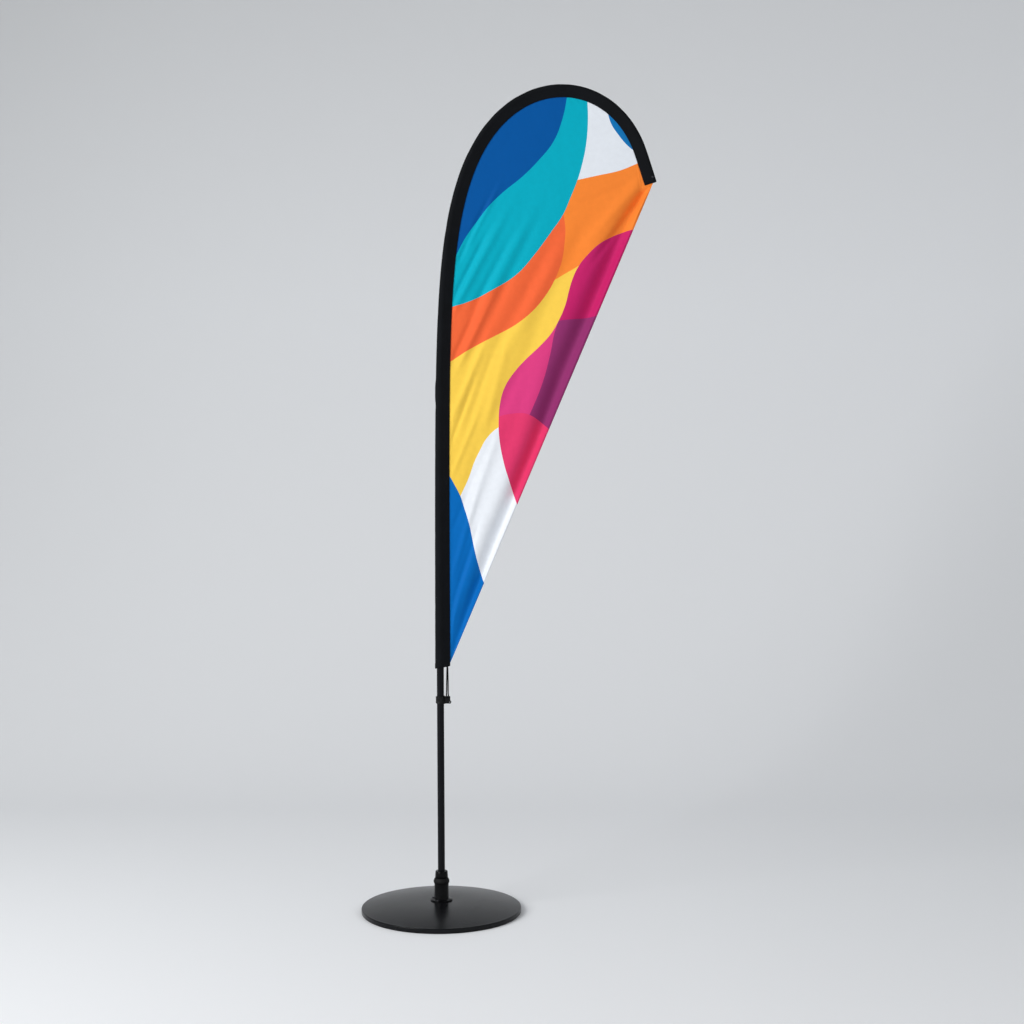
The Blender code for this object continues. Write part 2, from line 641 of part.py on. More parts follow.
def tip_cap(end):
    """Rubber cap pushed over the end of the last rod."""
    radius = TIP_CAP_RADIUS
    bore = radius - TIP_CAP_WALL
    cap = turned("tip_cap", [
        (0.0, 0.0), (0.7 * radius, 0.0), (radius, -0.3 * radius), (radius, -TIP_CAP_LENGTH),
        (bore, -TIP_CAP_LENGTH), (bore, -TIP_CAP_WALL), (0.0, -TIP_CAP_WALL),
    ], RUBBER, SMALL_SEGMENTS, MAST, closed=False)
    run = mast_point(end) - mast_point(end - TIP_CAP_LENGTH)
    cap.location = mast_point(end)
    cap.rotation_euler.y = math.atan2(run.x, run.z)


# ---------------------------------------------------------------- sleeve and panel
def sleeve_outside(length):
    """From the mast's centre to the sleeve's outer edge, with a swelling at the ferrule."""
    foot = MAST_RADIUS + SLEEVE_ROOM_FOOT
    flex = MAST_RADIUS + SLEEVE_ROOM_FLEX
    if length < FLEX_JOINT:
        plain = flex + (foot - flex) * (FLEX_JOINT - length) / (FLEX_JOINT - SLEEVE_FOOT)
    else:
        tip = TIP_CAP_RADIUS + SLEEVE_ROOM_TIP
        plain = flex + (tip - flex) * (length - FLEX_JOINT) / (SLEEVE_TIP - FLEX_JOINT)
    away = (length - FLEX_JOINT) / SLEEVE_BUMP_LENGTH
    return plain + SLEEVE_BUMP * math.exp(-away ** 4)


def sleeve_edge(length):
    """Half thickness of the sleeve where the panel is sewn to it."""
    fade = math.exp(-(length - SLEEVE_FOOT) / SLEEVE_EDGE_LENGTH)
    return SLEEVE_EDGE_TIP + (SLEEVE_EDGE_FOOT - SLEEVE_EDGE_TIP) * fade


def sleeve_section(length):
    """Round over the mast, round and thin at the seam, straight between the two."""
    big, small = sleeve_outside(length), sleeve_edge(length)
    seam = SLEEVE_INSIDE - small
    touch = math.acos((big - small) / seam)
    around = [touch + (math.tau - 2.0 * touch) * i / SLEEVE_ROUND_SIDES
              for i in range(SLEEVE_ROUND_SIDES + 1)]
    points = [(big * math.cos(angle), big * math.sin(angle)) for angle in around]
    for i in range(SLEEVE_EDGE_SIDES + 1):
        angle = touch * (2.0 * i / SLEEVE_EDGE_SIDES - 1.0)
        points.append((seam + small * math.cos(angle), small * math.sin(angle)))
    return points


def make_sleeve():
    """Fabric pocket lofted along the mast, open at the hem and closed at the tip."""
    bump = (FLEX_JOINT - 1.5 * SLEEVE_BUMP_LENGTH, FLEX_JOINT - 0.7 * SLEEVE_BUMP_LENGTH,
            FLEX_JOINT + 0.7 * SLEEVE_BUMP_LENGTH, FLEX_JOINT + 1.5 * SLEEVE_BUMP_LENGTH)
    hem = SLEEVE_FOOT + 2.0 * SLEEVE_SLANT
    shape = bmesh.new()
    rings = []
    for length in mast_stations(SLEEVE_FOOT, SLEEVE_TIP, (hem, *bump)):
        ring_verts = []
        for inward, sideways in sleeve_section(length):
            rise = 0.0
            if length == SLEEVE_FOOT:
                outside = sleeve_outside(length)
                rise = SLEEVE_SLANT * (inward + outside) / (SLEEVE_INSIDE + outside)
            ring_verts.append(shape.verts.new(mast_point(length + rise, inward, sideways)))
        rings.append(ring_verts)
    for low, high in zip(rings, rings[1:]):
        for i, corner in enumerate(low):
            shape.faces.new((corner, high[i], high[i - 1], low[i - 1]))
    shape.faces.new(rings[-1])
    bmesh.ops.recalc_face_normals(shape, faces=shape.faces)
    mesh = bpy.data.meshes.new("pole_sleeve")
    shape.to_mesh(mesh)
    shape.free()
    mesh.shade_smooth()
    sleeve = place("pole_sleeve", mesh, BLACK_FABRIC, MAST)
    skin = sleeve.modifiers.new("wall", "SOLIDIFY")
    skin.thickness = SLEEVE_WALL
    skin.offset = -1.0


def make_panel():
    """Printed panel, from the sleeve's inner edge to its straight free edge."""
    seam = SLEEVE_INSIDE + GAP
    edge = [mast_point(length, seam) for length in mast_stations(PANEL_FOOT, SLEEVE_TIP + GAP)]
    across = PANEL_TIP_SHARE * (SLEEVE_INSIDE + sleeve_outside(SLEEVE_TIP))
    edge.append(mast_point(SLEEVE_TIP + GAP, seam - across))
    panel = outline("sail_panel", [(point.x, point.z) for point in edge], PANEL_THICKNESS,
                    PRINTED_FABRIC, MAST)
    panel.rotation_euler.x = math.pi / 2.0


def make_rivets():
    """A domed rivet on each face of the sleeve's closed end."""
    length = SLEEVE_TIP - RIVET_SETBACK
    away = sleeve_outside(length) + GAP
    for name, side in (("tip_rivet_front", -1.0), ("tip_rivet_back", 1.0)):
        rivet = turned(name, [
            (0.0, RIVET_HEIGHT), (0.6 * RIVET_RADIUS, 0.85 * RIVET_HEIGHT),
            (RIVET_RADIUS, 0.25 * RIVET_HEIGHT), (RIVET_RADIUS, 0.0), (0.0, 0.0),
        ], ZINC_STEEL, SMALL_SEGMENTS, MAST, closed=False)
        rivet.location = mast_point(length, sideways=side * away)
        rivet.rotation_euler.x = -side * math.pi / 2.0


# ---------------------------------------------------------------- tab and cord
def make_tab():
    """Webbing tab sewn in the hem, with the eyelet that the cord pulls on."""
    centre = eyelet_spot()
    right = centre.x + EYELET_INSET - SLEEVE_WALL - WEBBING_ROOM
    webbing = box("tack_webbing",
                  (centre.x - WEBBING_LEFT, -WEBBING_THICKNESS / 2.0, centre.z - WEBBING_BELOW),
                  (right, WEBBING_THICKNESS / 2.0, centre.z + WEBBING_ABOVE),
                  BLACK_FABRIC, MAST)
    barrel = EYELET_HOLE + EYELET_BARREL
    hole = round_cutter("tack_webbing_hole", barrel + GAP, 4.0 * WEBBING_THICKNESS, centre,
                        "Y", MAST)
    combine(webbing, hole, "DIFFERENCE")

    inner = WEBBING_THICKNESS / 2.0 + GAP
    outer = inner + EYELET_FLANGE
    eyelet = turned("tack_eyelet", [
        (EYELET_HOLE, outer), (EYELET_FLANGE_RADIUS, outer), (EYELET_FLANGE_RADIUS, inner),
        (barrel, inner), (barrel, -inner), (EYELET_FLANGE_RADIUS, -inner),
        (EYELET_FLANGE_RADIUS, -outer), (EYELET_HOLE, -outer),
    ], ZINC_STEEL, SMALL_SEGMENTS, MAST)
    eyelet.location = centre
    eyelet.rotation_euler.x = math.pi / 2.0


def smooth_loop(points, steps):
    """Closed Catmull-Rom curve through points, with steps points for each of them."""
    curve = []
    count = len(points)
    for i in range(count):
        before, start, end, after = (points[(i + k) % count] for k in (-1, 0, 1, 2))
        for k in range(steps):
            t = k / steps
            curve.append(0.5 * (
                2.0 * start + (end - before) * t
                + (2.0 * before - 5.0 * start + 4.0 * end - after) * t ** 2
                + (3.0 * start - before - 3.0 * end + after) * t ** 3))
    return curve


def make_cord():
    """Elastic loop: through the eyelet, down both sides and round the screw's shank."""
    eyelet = eyelet_spot()
    shank = Vector((SCREW_X, CORD_Y, SCREW_Z))
    bend = SCREW_RADIUS + GAP + CORD_RADIUS
    middle = (eyelet + shank) / 2.0
    points = [
        eyelet + Vector((0.0, 0.0, 0.0003)),
        eyelet + Vector((-0.0002, -0.0030, -0.0006)),
        eyelet + Vector((-0.0006, -0.0036, -0.0055)),
        middle + Vector((-0.0022, -0.0020, 0.0)),
        shank + Vector((-bend, 0.0, 0.0060)),
        shank + Vector((-bend, 0.0, 0.0)),
    ]
    for degrees in (225.0, 270.0, 315.0):
        angle = math.radians(degrees)
        points.append(shank + bend * Vector((math.cos(angle), 0.0, math.sin(angle))))
    points += [
        shank + Vector((bend, 0.0, 0.0)),
        shank + Vector((bend, 0.0, 0.0060)),
        middle + Vector((0.0022, 0.0020, 0.0)),
        eyelet + Vector((0.0006, 0.0036, -0.0055)),
        eyelet + Vector((0.0002, 0.0030, -0.0006)),
    ]
    tube("bungee_cord", smooth_loop(points, 4), CORD_RADIUS, BLACK_CORD, 8, MAST, cyclic=True)


# ---------------------------------------------------------------- collar
def make_collar():
    centre = Vector((mast_point(COLLAR_MIDDLE - SOCKET_FLOOR).x, 0.0, COLLAR_MIDDLE))
    half = COLLAR_HEIGHT / 2.0

    liner_opening = math.degrees(2.0 * math.asin(CLAMP_OPENING / 2.0 / LINER_INNER))
    liner = split_ring("collar_liner", LINER_INNER, LINER_OUTER, 1.5 * liner_opening,
                       COLLAR_HEIGHT - 2.0 * EAR_INSET, RUBBER, COLLAR)
    liner.location = centre

    recess = BAND_OUTER - BAND_RECESS
    band = turned("collar_band", [
        (BAND_INNER, half), (BAND_OUTER, half), (BAND_OUTER, half - LIP_HEIGHT),
        (recess, half - LIP_HEIGHT - BAND_RECESS), (recess, LIP_HEIGHT + BAND_RECESS - half),
        (BAND_OUTER, LIP_HEIGHT - half), (BAND_OUTER, -half), (BAND_INNER, -half),
    ], BLACK_PLASTIC, HUB_SEGMENTS, COLLAR)
    band.location = centre

    root = centre.x + BAND_INNER + 0.15 * BAND_WALL
    ears = box("collar_ears", (root, -EAR_FACE, COLLAR_MIDDLE - half + EAR_INSET),
               (EAR_TIP_X, EAR_FACE, COLLAR_MIDDLE + half - EAR_INSET), None, COLLAR, CUTTERS)
    rounding = ears.modifiers.new("rounding", "BEVEL")
    rounding.width = EAR_BEVEL
    rounding.segments = 2
    combine(band, ears, "UNION")

    eye = (EYE_X, 0.0, COLLAR_MIDDLE - EYE_DROP)
    lobe = round_cutter("collar_eye", EYE_RADIUS, 2.0 * EAR_FACE - EAR_BEVEL, eye, "Y", COLLAR)
    combine(band, lobe, "UNION")
    through = 2.0 * (EAR_FACE + CUT_EXTRA)
    eye_hole = round_cutter("collar_eye_hole", EYE_HOLE_RADIUS, through, eye, "Y", COLLAR)
    combine(band, eye_hole, "DIFFERENCE")
    screw_spot = (SCREW_X, 0.0, SCREW_Z)
    screw_hole = round_cutter("clamp_screw_hole", SCREW_RADIUS + GAP, through, screw_spot,
                              "Y", COLLAR)
    combine(band, screw_hole, "DIFFERENCE")
    slot = box("clamp_opening", (centre.x + BAND_INNER / 2.0, -CLAMP_OPENING / 2.0,
                                 COLLAR_MIDDLE - half - CUT_EXTRA),
               (EYE_X + EYE_RADIUS + CUT_EXTRA, CLAMP_OPENING / 2.0,
                COLLAR_MIDDLE + half + CUT_EXTRA), None, COLLAR, CUTTERS)
    combine(band, slot, "DIFFERENCE")

    nut_near = -(EAR_FACE + GAP)
    nut_hole = (SCREW_RADIUS + GAP) / math.cos(math.pi / 6.0)
    nut = ring("clamp_nut", nut_hole, NUT_RADIUS, nut_near - NUT_HEIGHT, nut_near,
               ZINC_STEEL, 6, COLLAR)
    head = -SCREW_HEAD_Y
    end = nut_near - NUT_HEIGHT - SCREW_END
    screw = turned("clamp_screw", [
        (0.0, head + SCREW_HEAD_HEIGHT),
        (0.85 * SCREW_HEAD_RADIUS, head + SCREW_HEAD_HEIGHT),
        (SCREW_HEAD_RADIUS, head + 0.8 * SCREW_HEAD_HEIGHT), (SCREW_HEAD_RADIUS, head),
        (SCREW_RADIUS, head), (SCREW_RADIUS, end), (0.0, end),
    ], BLACK_PLASTIC, HUB_SEGMENTS, SCREW, closed=False)
    for piece in (nut, screw):
        piece.location = screw_spot
        piece.rotation_euler.x = math.pi / 2.0


# ---------------------------------------------------------------- build
clear_scene()
PARTS = new_collection("teardrop flag")
CUTTERS = new_collection("cutters")

RUBBER = material("rubber", (0.015, 0.015, 0.016), 0.75)
RAW_STEEL = material("raw steel", (0.30, 0.30, 0.31), 0.45, 1.0)
BRIGHT_STEEL = material("bright steel", (0.55, 0.55, 0.57), 0.20, 1.0)
ZINC_STEEL = material("zinc plated steel", (0.45, 0.46, 0.48), 0.30, 1.0)
BLACK_COAT = material("black powder coat", (0.045, 0.046, 0.050), 0.38)
BLACK_STEEL = material("black painted steel", (0.020, 0.020, 0.022), 0.35)
BLACK_TUBE = material("black anodised tube", (0.018, 0.018, 0.021), 0.40)
BLACK_PLASTIC = material("black nylon", (0.012, 0.012, 0.013), 0.45)
GLASS_FIBRE = material("black glass fibre", (0.015, 0.015, 0.016), 0.35)
BLACK_FABRIC = material("black polyester", (0.012, 0.014, 0.017), 0.85)
BLACK_CORD = material("black braid", (0.010, 0.010, 0.011), 0.80)
PRINTED_FABRIC = material("printed polyester", (0.93, 0.35, 0.07), 0.70)

BASE = empty("base", (0.0, 0.0, 0.0))
ROTOR = empty("rotor", (0.0, 0.0, LOWER_BEARING), BASE)
CAGES = empty("ball_cages", (0.0, 0.0, UPPER_BEARING), BASE)
MAST = empty("mast", (MAST_FOOT_X, 0.0, SOCKET_FLOOR), ROTOR)
COLLAR = empty("collar", mast_point(COLLAR_MIDDLE - SOCKET_FLOOR), MAST)
SCREW = empty("clamp_screw_axis", (SCREW_X, 0.0, SCREW_Z), COLLAR)

make_base()
bearing("lower", LOWER_BEARING)
bearing("upper", UPPER_BEARING)
make_rotor()
make_mast()
make_sleeve()
make_panel()
make_rivets()
make_tab()
make_cord()
make_collar()
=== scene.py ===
# %% [markdown]
# # A teardrop flag on a round weighted base
#
# The real flag is a printed polyester sail sewn to a black pocket. A springy mast slides into the
# pocket and bends it into a drop. The mast stands in a hub that turns on ball bearings, on a heavy
# steel plate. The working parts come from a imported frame, which holds every size and every joint.
# This lesson dresses that frame: each visible piece is modelled again with fine edges, and each
# finish is built from shader nodes. Units are metres, +Z is up, and the sail hangs in the plane
# y = 0, seen from the -Y side.

# %% Load the frame
import math

import bmesh
import bpy
import numpy as np
from mathutils import Matrix, Vector, noise


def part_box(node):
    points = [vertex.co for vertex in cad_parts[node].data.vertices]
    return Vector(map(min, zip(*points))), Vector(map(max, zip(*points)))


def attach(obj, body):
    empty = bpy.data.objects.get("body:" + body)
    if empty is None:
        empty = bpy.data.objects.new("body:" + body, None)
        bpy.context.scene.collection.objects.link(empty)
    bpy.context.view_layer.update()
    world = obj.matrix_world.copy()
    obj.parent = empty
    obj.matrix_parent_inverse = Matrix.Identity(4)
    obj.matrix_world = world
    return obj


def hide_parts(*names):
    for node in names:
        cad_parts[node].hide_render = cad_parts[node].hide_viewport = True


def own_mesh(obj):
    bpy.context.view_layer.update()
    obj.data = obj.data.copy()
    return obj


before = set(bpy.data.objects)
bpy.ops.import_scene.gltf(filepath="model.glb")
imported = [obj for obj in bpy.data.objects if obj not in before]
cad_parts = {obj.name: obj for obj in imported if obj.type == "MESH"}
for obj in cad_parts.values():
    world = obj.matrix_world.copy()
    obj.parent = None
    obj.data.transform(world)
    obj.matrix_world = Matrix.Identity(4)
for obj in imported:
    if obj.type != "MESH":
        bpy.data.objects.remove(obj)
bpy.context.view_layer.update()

# %% [markdown]
# ## The camera and the studio
#
# The flag is 2.3 m tall, so the camera stands more than 4 m away at half the flag's height and looks
# level. A level camera keeps the mast's upright lines parallel, and a slight shift centres the flag
# in the frame. The studio is one sheet that curves from floor to wall, as a paper roll does. It could
# be two planes, but then a hard line would show where they meet.

# %% Camera
CAMERA_SPOT = (0.1991, -4.18, 1.158)
LENS = 52.0
SHIFT_UP = -0.0105
FARTHEST = 60.0                  # the camera sees no further

camera = bpy.data.objects.new("camera", bpy.data.cameras.new("camera"))
bpy.context.scene.collection.objects.link(camera)
camera.location = CAMERA_SPOT
camera.rotation_euler = (math.radians(90.0), 0.0, 0.0)
camera.data.lens = LENS
camera.data.shift_y = SHIFT_UP
camera.data.clip_end = FARTHEST
bpy.context.scene.camera = camera
bpy.context.scene.view_settings.view_transform = "Standard"
print("camera stands", -CAMERA_SPOT[1], "m in front of the flag")

# %% [markdown]
# ## Small helpers for materials
#
# Every finish starts from a Principled shader. A colour or roughness that is the same all over is
# set on the shader's own socket. What varies over the surface, such as grain or a weave, comes from
# texture nodes. One helper starts a finish, one adds a node and wires it, and one turns a pattern
# into small relief.

# %% Material helpers
def ink(code):
    """Linear red, green and blue of a screen colour such as "1e90ff"."""
    parts = [int(code[i:i + 2], 16) / 255.0 for i in (0, 2, 4)]
    return [part / 12.92 if part <= 0.04045 else ((part + 0.055) / 1.055) ** 2.4 for part in parts]


def finish(name, colour, roughness, sockets=None):
    """A material whose steady values sit on its shader."""
    made = bpy.data.materials.new(name)
    made.use_nodes = True
    shader = made.node_tree.nodes["Principled BSDF"]
    shader.inputs["Base Color"].default_value = (*ink(colour), 1.0)
    shader.inputs["Roughness"].default_value = roughness
    for socket, value in (sockets or {}).items():
        shader.inputs[socket].default_value = value
    return made


def add(made, kind, inputs=None, **settings):
    """Add a shader node. Inputs may be values or other nodes' outputs."""
    tree = made.node_tree
    node = tree.nodes.new("ShaderNode" + kind)
    for key, value in settings.items():
        setattr(node, key, value)
    for socket, value in (inputs or {}).items():
        if isinstance(value, bpy.types.NodeSocket):
            tree.links.new(value, node.inputs[socket])
        else:
            node.inputs[socket].default_value = value
    return node


def wire(made, output, socket):
    """Wire an output to a socket of the finish's shader."""
    shader = made.node_tree.nodes["Principled BSDF"]
    made.node_tree.links.new(output, shader.inputs[socket])


def places(made):
    """A point on the piece in metres, the same for every view."""
    return add(made, "TexCoord").outputs["Object"]


def relief(made, height, depth, strength=1.0, under=None):
    """Small bumps from a pattern, on top of the bumps under them. Depth is in metres."""
    inputs = {"Height": height, "Distance": depth, "Strength": strength}
    if under:
        inputs["Normal"] = under
    return add(made, "Bump", inputs).outputs["Normal"]


def between(made, factor, first, last):
    """A number that runs from first to last as a pattern runs from 0 to 1."""
    ramp = {"Value": factor, "To Min": first, "To Max": last}
    return add(made, "MapRange", ramp).outputs["Result"]


def tinted(made, factor, first, last):
    """A colour that runs from first to last as a pattern runs from 0 to 1."""
    mix = add(made, "Mix", {0: factor}, data_type="RGBA")
    for socket, colour in ((6, first), (7, last)):
        mix.inputs[socket].default_value = (*ink(colour), 1.0)
    return mix.outputs[2]


def speckle(made, scale, detail=2.0, stretch=(1.0, 1.0, 1.0)):
    """Noise from 0 to 1. Scale counts grains to the metre."""
    spots = add(made, "Mapping", {"Vector": places(made), "Scale": stretch})
    grains = {"Vector": spots.outputs["Vector"], "Scale": scale, "Detail": detail}
    return add(made, "TexNoise", grains).outputs["Fac"]

# %% [markdown]
# ## The backdrop
#
# The backdrop is a strip that lies flat, turns up in a wide curve and ends as a wall. Extruding one
# edge along that path makes it, with the curve worked out as an arc. Its paper's colour holds
# painted light and shade: it is paler low down and to the right, away from the main lamp, and
# darker to the left and higher up.

# %% Backdrop
STAGE_HALF = 9.0
STAGE_FRONT = -7.0
WALL_AT = 3.6
WALL_HEIGHT = 7.0
COVE_RADIUS = 2.2
COVE_STEPS = 24
PAINTED_LIGHT_TO = (0.12, 0.0, -0.12)    # gain in painted light on the paper for each metre to the right, back and up
PAINTED_LIGHT_BASE = 0.92                  # at the origin


def backdrop_path():
    """Points of the paper roll from the front of the floor to the top of the wall."""
    yield STAGE_FRONT, 0.0
    for i in range(COVE_STEPS + 1):
        angle = math.radians(90.0) * i / COVE_STEPS
        yield (WALL_AT - COVE_RADIUS + COVE_RADIUS * math.sin(angle),
               COVE_RADIUS - COVE_RADIUS * math.cos(angle))
    yield WALL_AT, WALL_HEIGHT


def make_backdrop():
    shape = bmesh.new()
    path = list(backdrop_path())
    ends = [shape.verts.new((side * STAGE_HALF, *path[0])) for side in (-1.0, 1.0)]
    edge = shape.edges.new(ends)
    for (y, z), (next_y, next_z) in zip(path, path[1:]):
        made = bmesh.ops.extrude_edge_only(shape, edges=[edge])["geom"]
        fresh = [part for part in made if isinstance(part, bmesh.types.BMVert)]
        bmesh.ops.translate(shape, verts=fresh, vec=(0.0, next_y - y, next_z - z))
        edge = next(part for part in made if isinstance(part, bmesh.types.BMEdge)
                    and all(end in fresh for end in part.verts))
    bmesh.ops.recalc_face_normals(shape, faces=shape.faces)
    return shape


def stand(name, shape, look, sharp=None):
    """Turn a finished shape into an object at the origin. Sharp is the angle that stays an edge."""
    mesh = bpy.data.meshes.new(name)
    shape.to_mesh(mesh)
    shape.free()
    mesh.materials.append(look)
    mesh.shade_smooth()
    if sharp:
        mesh.set_sharp_from_angle(angle=math.radians(sharp))
    stood = bpy.data.objects.new(name, mesh)
    bpy.context.scene.collection.objects.link(stood)
    return stood


paper = finish("studio_paper", "e8eaea", 0.9, {"Specular IOR Level": 0.1})
# The paper's colour is painted light and shade: darker to the left and higher up, paler low down and to
# the right.
slope = add(paper, "VectorMath", {0: places(paper), 1: PAINTED_LIGHT_TO}, operation="DOT_PRODUCT")
painted_light = add(paper, "Math", {0: slope.outputs["Value"], 1: PAINTED_LIGHT_BASE}, operation="ADD", use_clamp=True)
wire(paper, tinted(paper, painted_light.outputs["Value"], "cbcdcf", "fafcff"), "Base Color")
stand("backdrop", make_backdrop(), paper)
print("backdrop curves up", WALL_AT, "m behind the flag")

# %% [markdown]
# ## The lamps
#
# A large soft box to the left, a little above the flag, is the main light, so folds that face left
# are bright and folds that face right fall into shade. A weaker box on the right fills the shadows,
# and a plain grey world lights the rest.

# %% Lamps
WORLD_GREY = (0.81, 0.82, 0.825, 1.0)
WORLD_STRENGTH = 0.42


def soft_box(name, spot, aim, size, power):
    lamp = bpy.data.lights.new(name, "AREA")
    lamp.shape = "RECTANGLE"
    lamp.size, lamp.size_y = size
    lamp.energy = power
    box = bpy.data.objects.new(name, lamp)
    bpy.context.scene.collection.objects.link(box)
    box.location = spot
    box.rotation_euler = (Vector(aim) - Vector(spot)).to_track_quat("-Z", "Y").to_euler()
    return box


soft_box("key_light", (-3.6, -3.0, 2.6), (0.2, 0.0, 0.8), (3.0, 3.0), 216.0)
soft_box("fill_light", (3.8, -3.6, 2.4), (0.2, 0.0, 1.2), (2.4, 2.4), 30.0)

world = bpy.data.worlds.new("studio")
bpy.context.scene.world = world
world.use_nodes = True
sky = world.node_tree.nodes["Background"]
sky.inputs["Color"].default_value = WORLD_GREY
sky.inputs["Strength"].default_value = WORLD_STRENGTH
print("two soft boxes and a grey world")

# %% [markdown]
# ## The mast's line
#
# The mast is a straight tube below and a bent rod above. Its heading starts upright and swings
# smoothly through almost half a turn, as an S-shaped logistic curve does, until its stiff tip runs
# straight on. Every piece on the mast follows it. The line could be a drawn curve, but a formula
# gives any piece its exact place: walk along the mast in small steps, and add each step's direction.

# %% Line of the mast
SOCKET_FLOOR = 0.044
MAST_FOOT_X = 0.0002
LEAN = math.radians(-0.33)
SWING = math.radians(203.2)
SECTION = 0.7125
MAST_END = 4.0 * SECTION
BEND_MIDDLE = MAST_END - 0.3638
BEND_SPREAD = 0.199
BEND_END = MAST_END - 0.09
WALK = 0.0005
WALK_PAST = 0.01                 # the walk ends this far past the mast's end


def heading(length):
    """Angle from +Z towards +X at a length from the mast's foot."""
    bent = np.minimum(length, BEND_END)
    return LEAN + SWING / (1.0 + np.exp((BEND_MIDDLE - bent) / BEND_SPREAD))


walked = np.arange(0.0, MAST_END + WALK_PAST, WALK)
turns = heading(walked[:-1] + WALK / 2.0)
walked_x = MAST_FOOT_X + np.concatenate(([0.0], np.cumsum(np.sin(turns)) * WALK))
walked_z = SOCKET_FLOOR + np.concatenate(([0.0], np.cumsum(np.cos(turns)) * WALK))


def along_mast(length, inward=0.0, sideways=0.0):
    """Points beside the mast: inward lies to the sail's side, sideways is +Y."""
    length, inward, sideways = np.broadcast_arrays(length, inward, sideways)
    turn = heading(length)
    x = np.interp(length, walked, walked_x) + inward * np.cos(turn)
    z = np.interp(length, walked, walked_z) - inward * np.sin(turn)
    return np.stack([x, np.broadcast_to(sideways, x.shape), z], -1)


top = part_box("pole_sleeve")[1].z
print("mast's line peaks", round(float(top - walked_z.max()), 4), "m under the pocket's top")

# %% [markdown]
# ## Wrapping a flat grid
#
# Cloth, tubes and cords all start as flat strips. Here a grid is made with the grid operator, and
# each vertex is carried to its place by a function of its two shares across and along the strip. The
# grid's own UV map stays with it, so a weave can follow the cloth.

# %% Grid wrapper
STRIP_MAP = "strip"
WELD = 0.00001


def wrapped(columns, rows, carry, closed=False, reach=(1.0, 1.0)):
    """Carry a grid's vertices to carry(across, along). The UV map runs over reach."""
    shape = bmesh.new()
    strip = shape.loops.layers.uv.new(STRIP_MAP)
    bmesh.ops.create_grid(shape, x_segments=columns, y_segments=rows, size=0.5)
    shares = np.array([vertex.co[:2] for vertex in shape.verts]) + 0.5
    shape.verts.index_update()
    for face in shape.faces:
        for corner in face.loops:
            share = shares[corner.vert.index]
            corner[strip].uv = (share[0] * reach[0], share[1] * reach[1])
    for vertex, spot in zip(shape.verts, carry(shares[:, 0], shares[:, 1])):
        vertex.co = spot
    if closed:
        bmesh.ops.remove_doubles(shape, verts=shape.verts, dist=WELD)
    bmesh.ops.recalc_face_normals(shape, faces=shape.faces)
    return shape


def walled(piece, thickness, offset=-1.0):
    """Give an open surface its thickness."""
    wall = piece.modifiers.new("thickness", "SOLIDIFY")
    wall.thickness = thickness
    wall.offset = offset
    wall.use_even_offset = True
    return piece


def fitted(piece, body, slot, *nodes):
    """Ride on a body and stand for CAD nodes, which it hides. The slot is not used."""
    if nodes:
        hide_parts(*nodes)
    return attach(piece, body)


def dressed(name, shape, look, sharp, body, slot, node):
    """Stand a shape up and fit it in the place of one CAD node."""
    return fitted(stand(name, shape, look, sharp), body, slot, node)


print("walking", len(walked), "steps along the mast, with strips welded within", WELD, "m")

# %% [markdown]
# ## The print
#
# The sail is dyed with broad overlapping shapes. An image could hold them, but a texture made from
# lines stays sharp at any distance. Each colour is one layer of paint that ends at a smooth line, and
# each line is a Float Curve node through a few points on the flat cloth. Layers are painted from
# the back to the front, as a sign painter would.

# %% Layers of the print
CLOTH_SPAN = 2.4                 # metres of cloth across the whole of the cloth's UV map
CLOTH_MAP = "cloth"


def cloth_position(made):
    """Separate X and Z of the flat cloth, as shares of the cloth's span."""
    flat = add(made, "UVMap", uv_map=CLOTH_MAP)
    parts = add(made, "SeparateXYZ", {"Vector": flat.outputs["UV"]})
    return parts.outputs["X"], parts.outputs["Y"]


def line_through(made, position, points):
    """A smooth line: where it lies at each position, from a few points in metres."""
    node = add(made, "FloatCurve", {"Value": position})
    curve = node.mapping.curves[0]
    for spot, (at, value) in zip(curve.points, (points[0], points[-1])):
        spot.location = (at / CLOTH_SPAN, value / CLOTH_SPAN)
    for at, value in points[1:-1]:
        curve.points.new(at / CLOTH_SPAN, value / CLOTH_SPAN)
    node.mapping.update()
    return node.outputs["Value"]


def is_more(made, value, line):
    return add(made, "Math", {0: value, 1: line}, operation="GREATER_THAN").outputs[0]


def both(made, first, second):
    return add(made, "Math", {0: first, 1: second}, operation="MULTIPLY").outputs[0]


def painted(made, under, mask, colour):
    """Paint a colour over what is under it where the mask is 1."""
    layer = add(made, "Mix", {0: mask}, data_type="RGBA")
    if isinstance(under, str):
        layer.inputs[6].default_value = (*ink(under), 1.0)
    else:
        made.node_tree.links.new(under, layer.inputs[6])
    layer.inputs[7].default_value = (*ink(colour), 1.0)
    return layer.outputs[2]


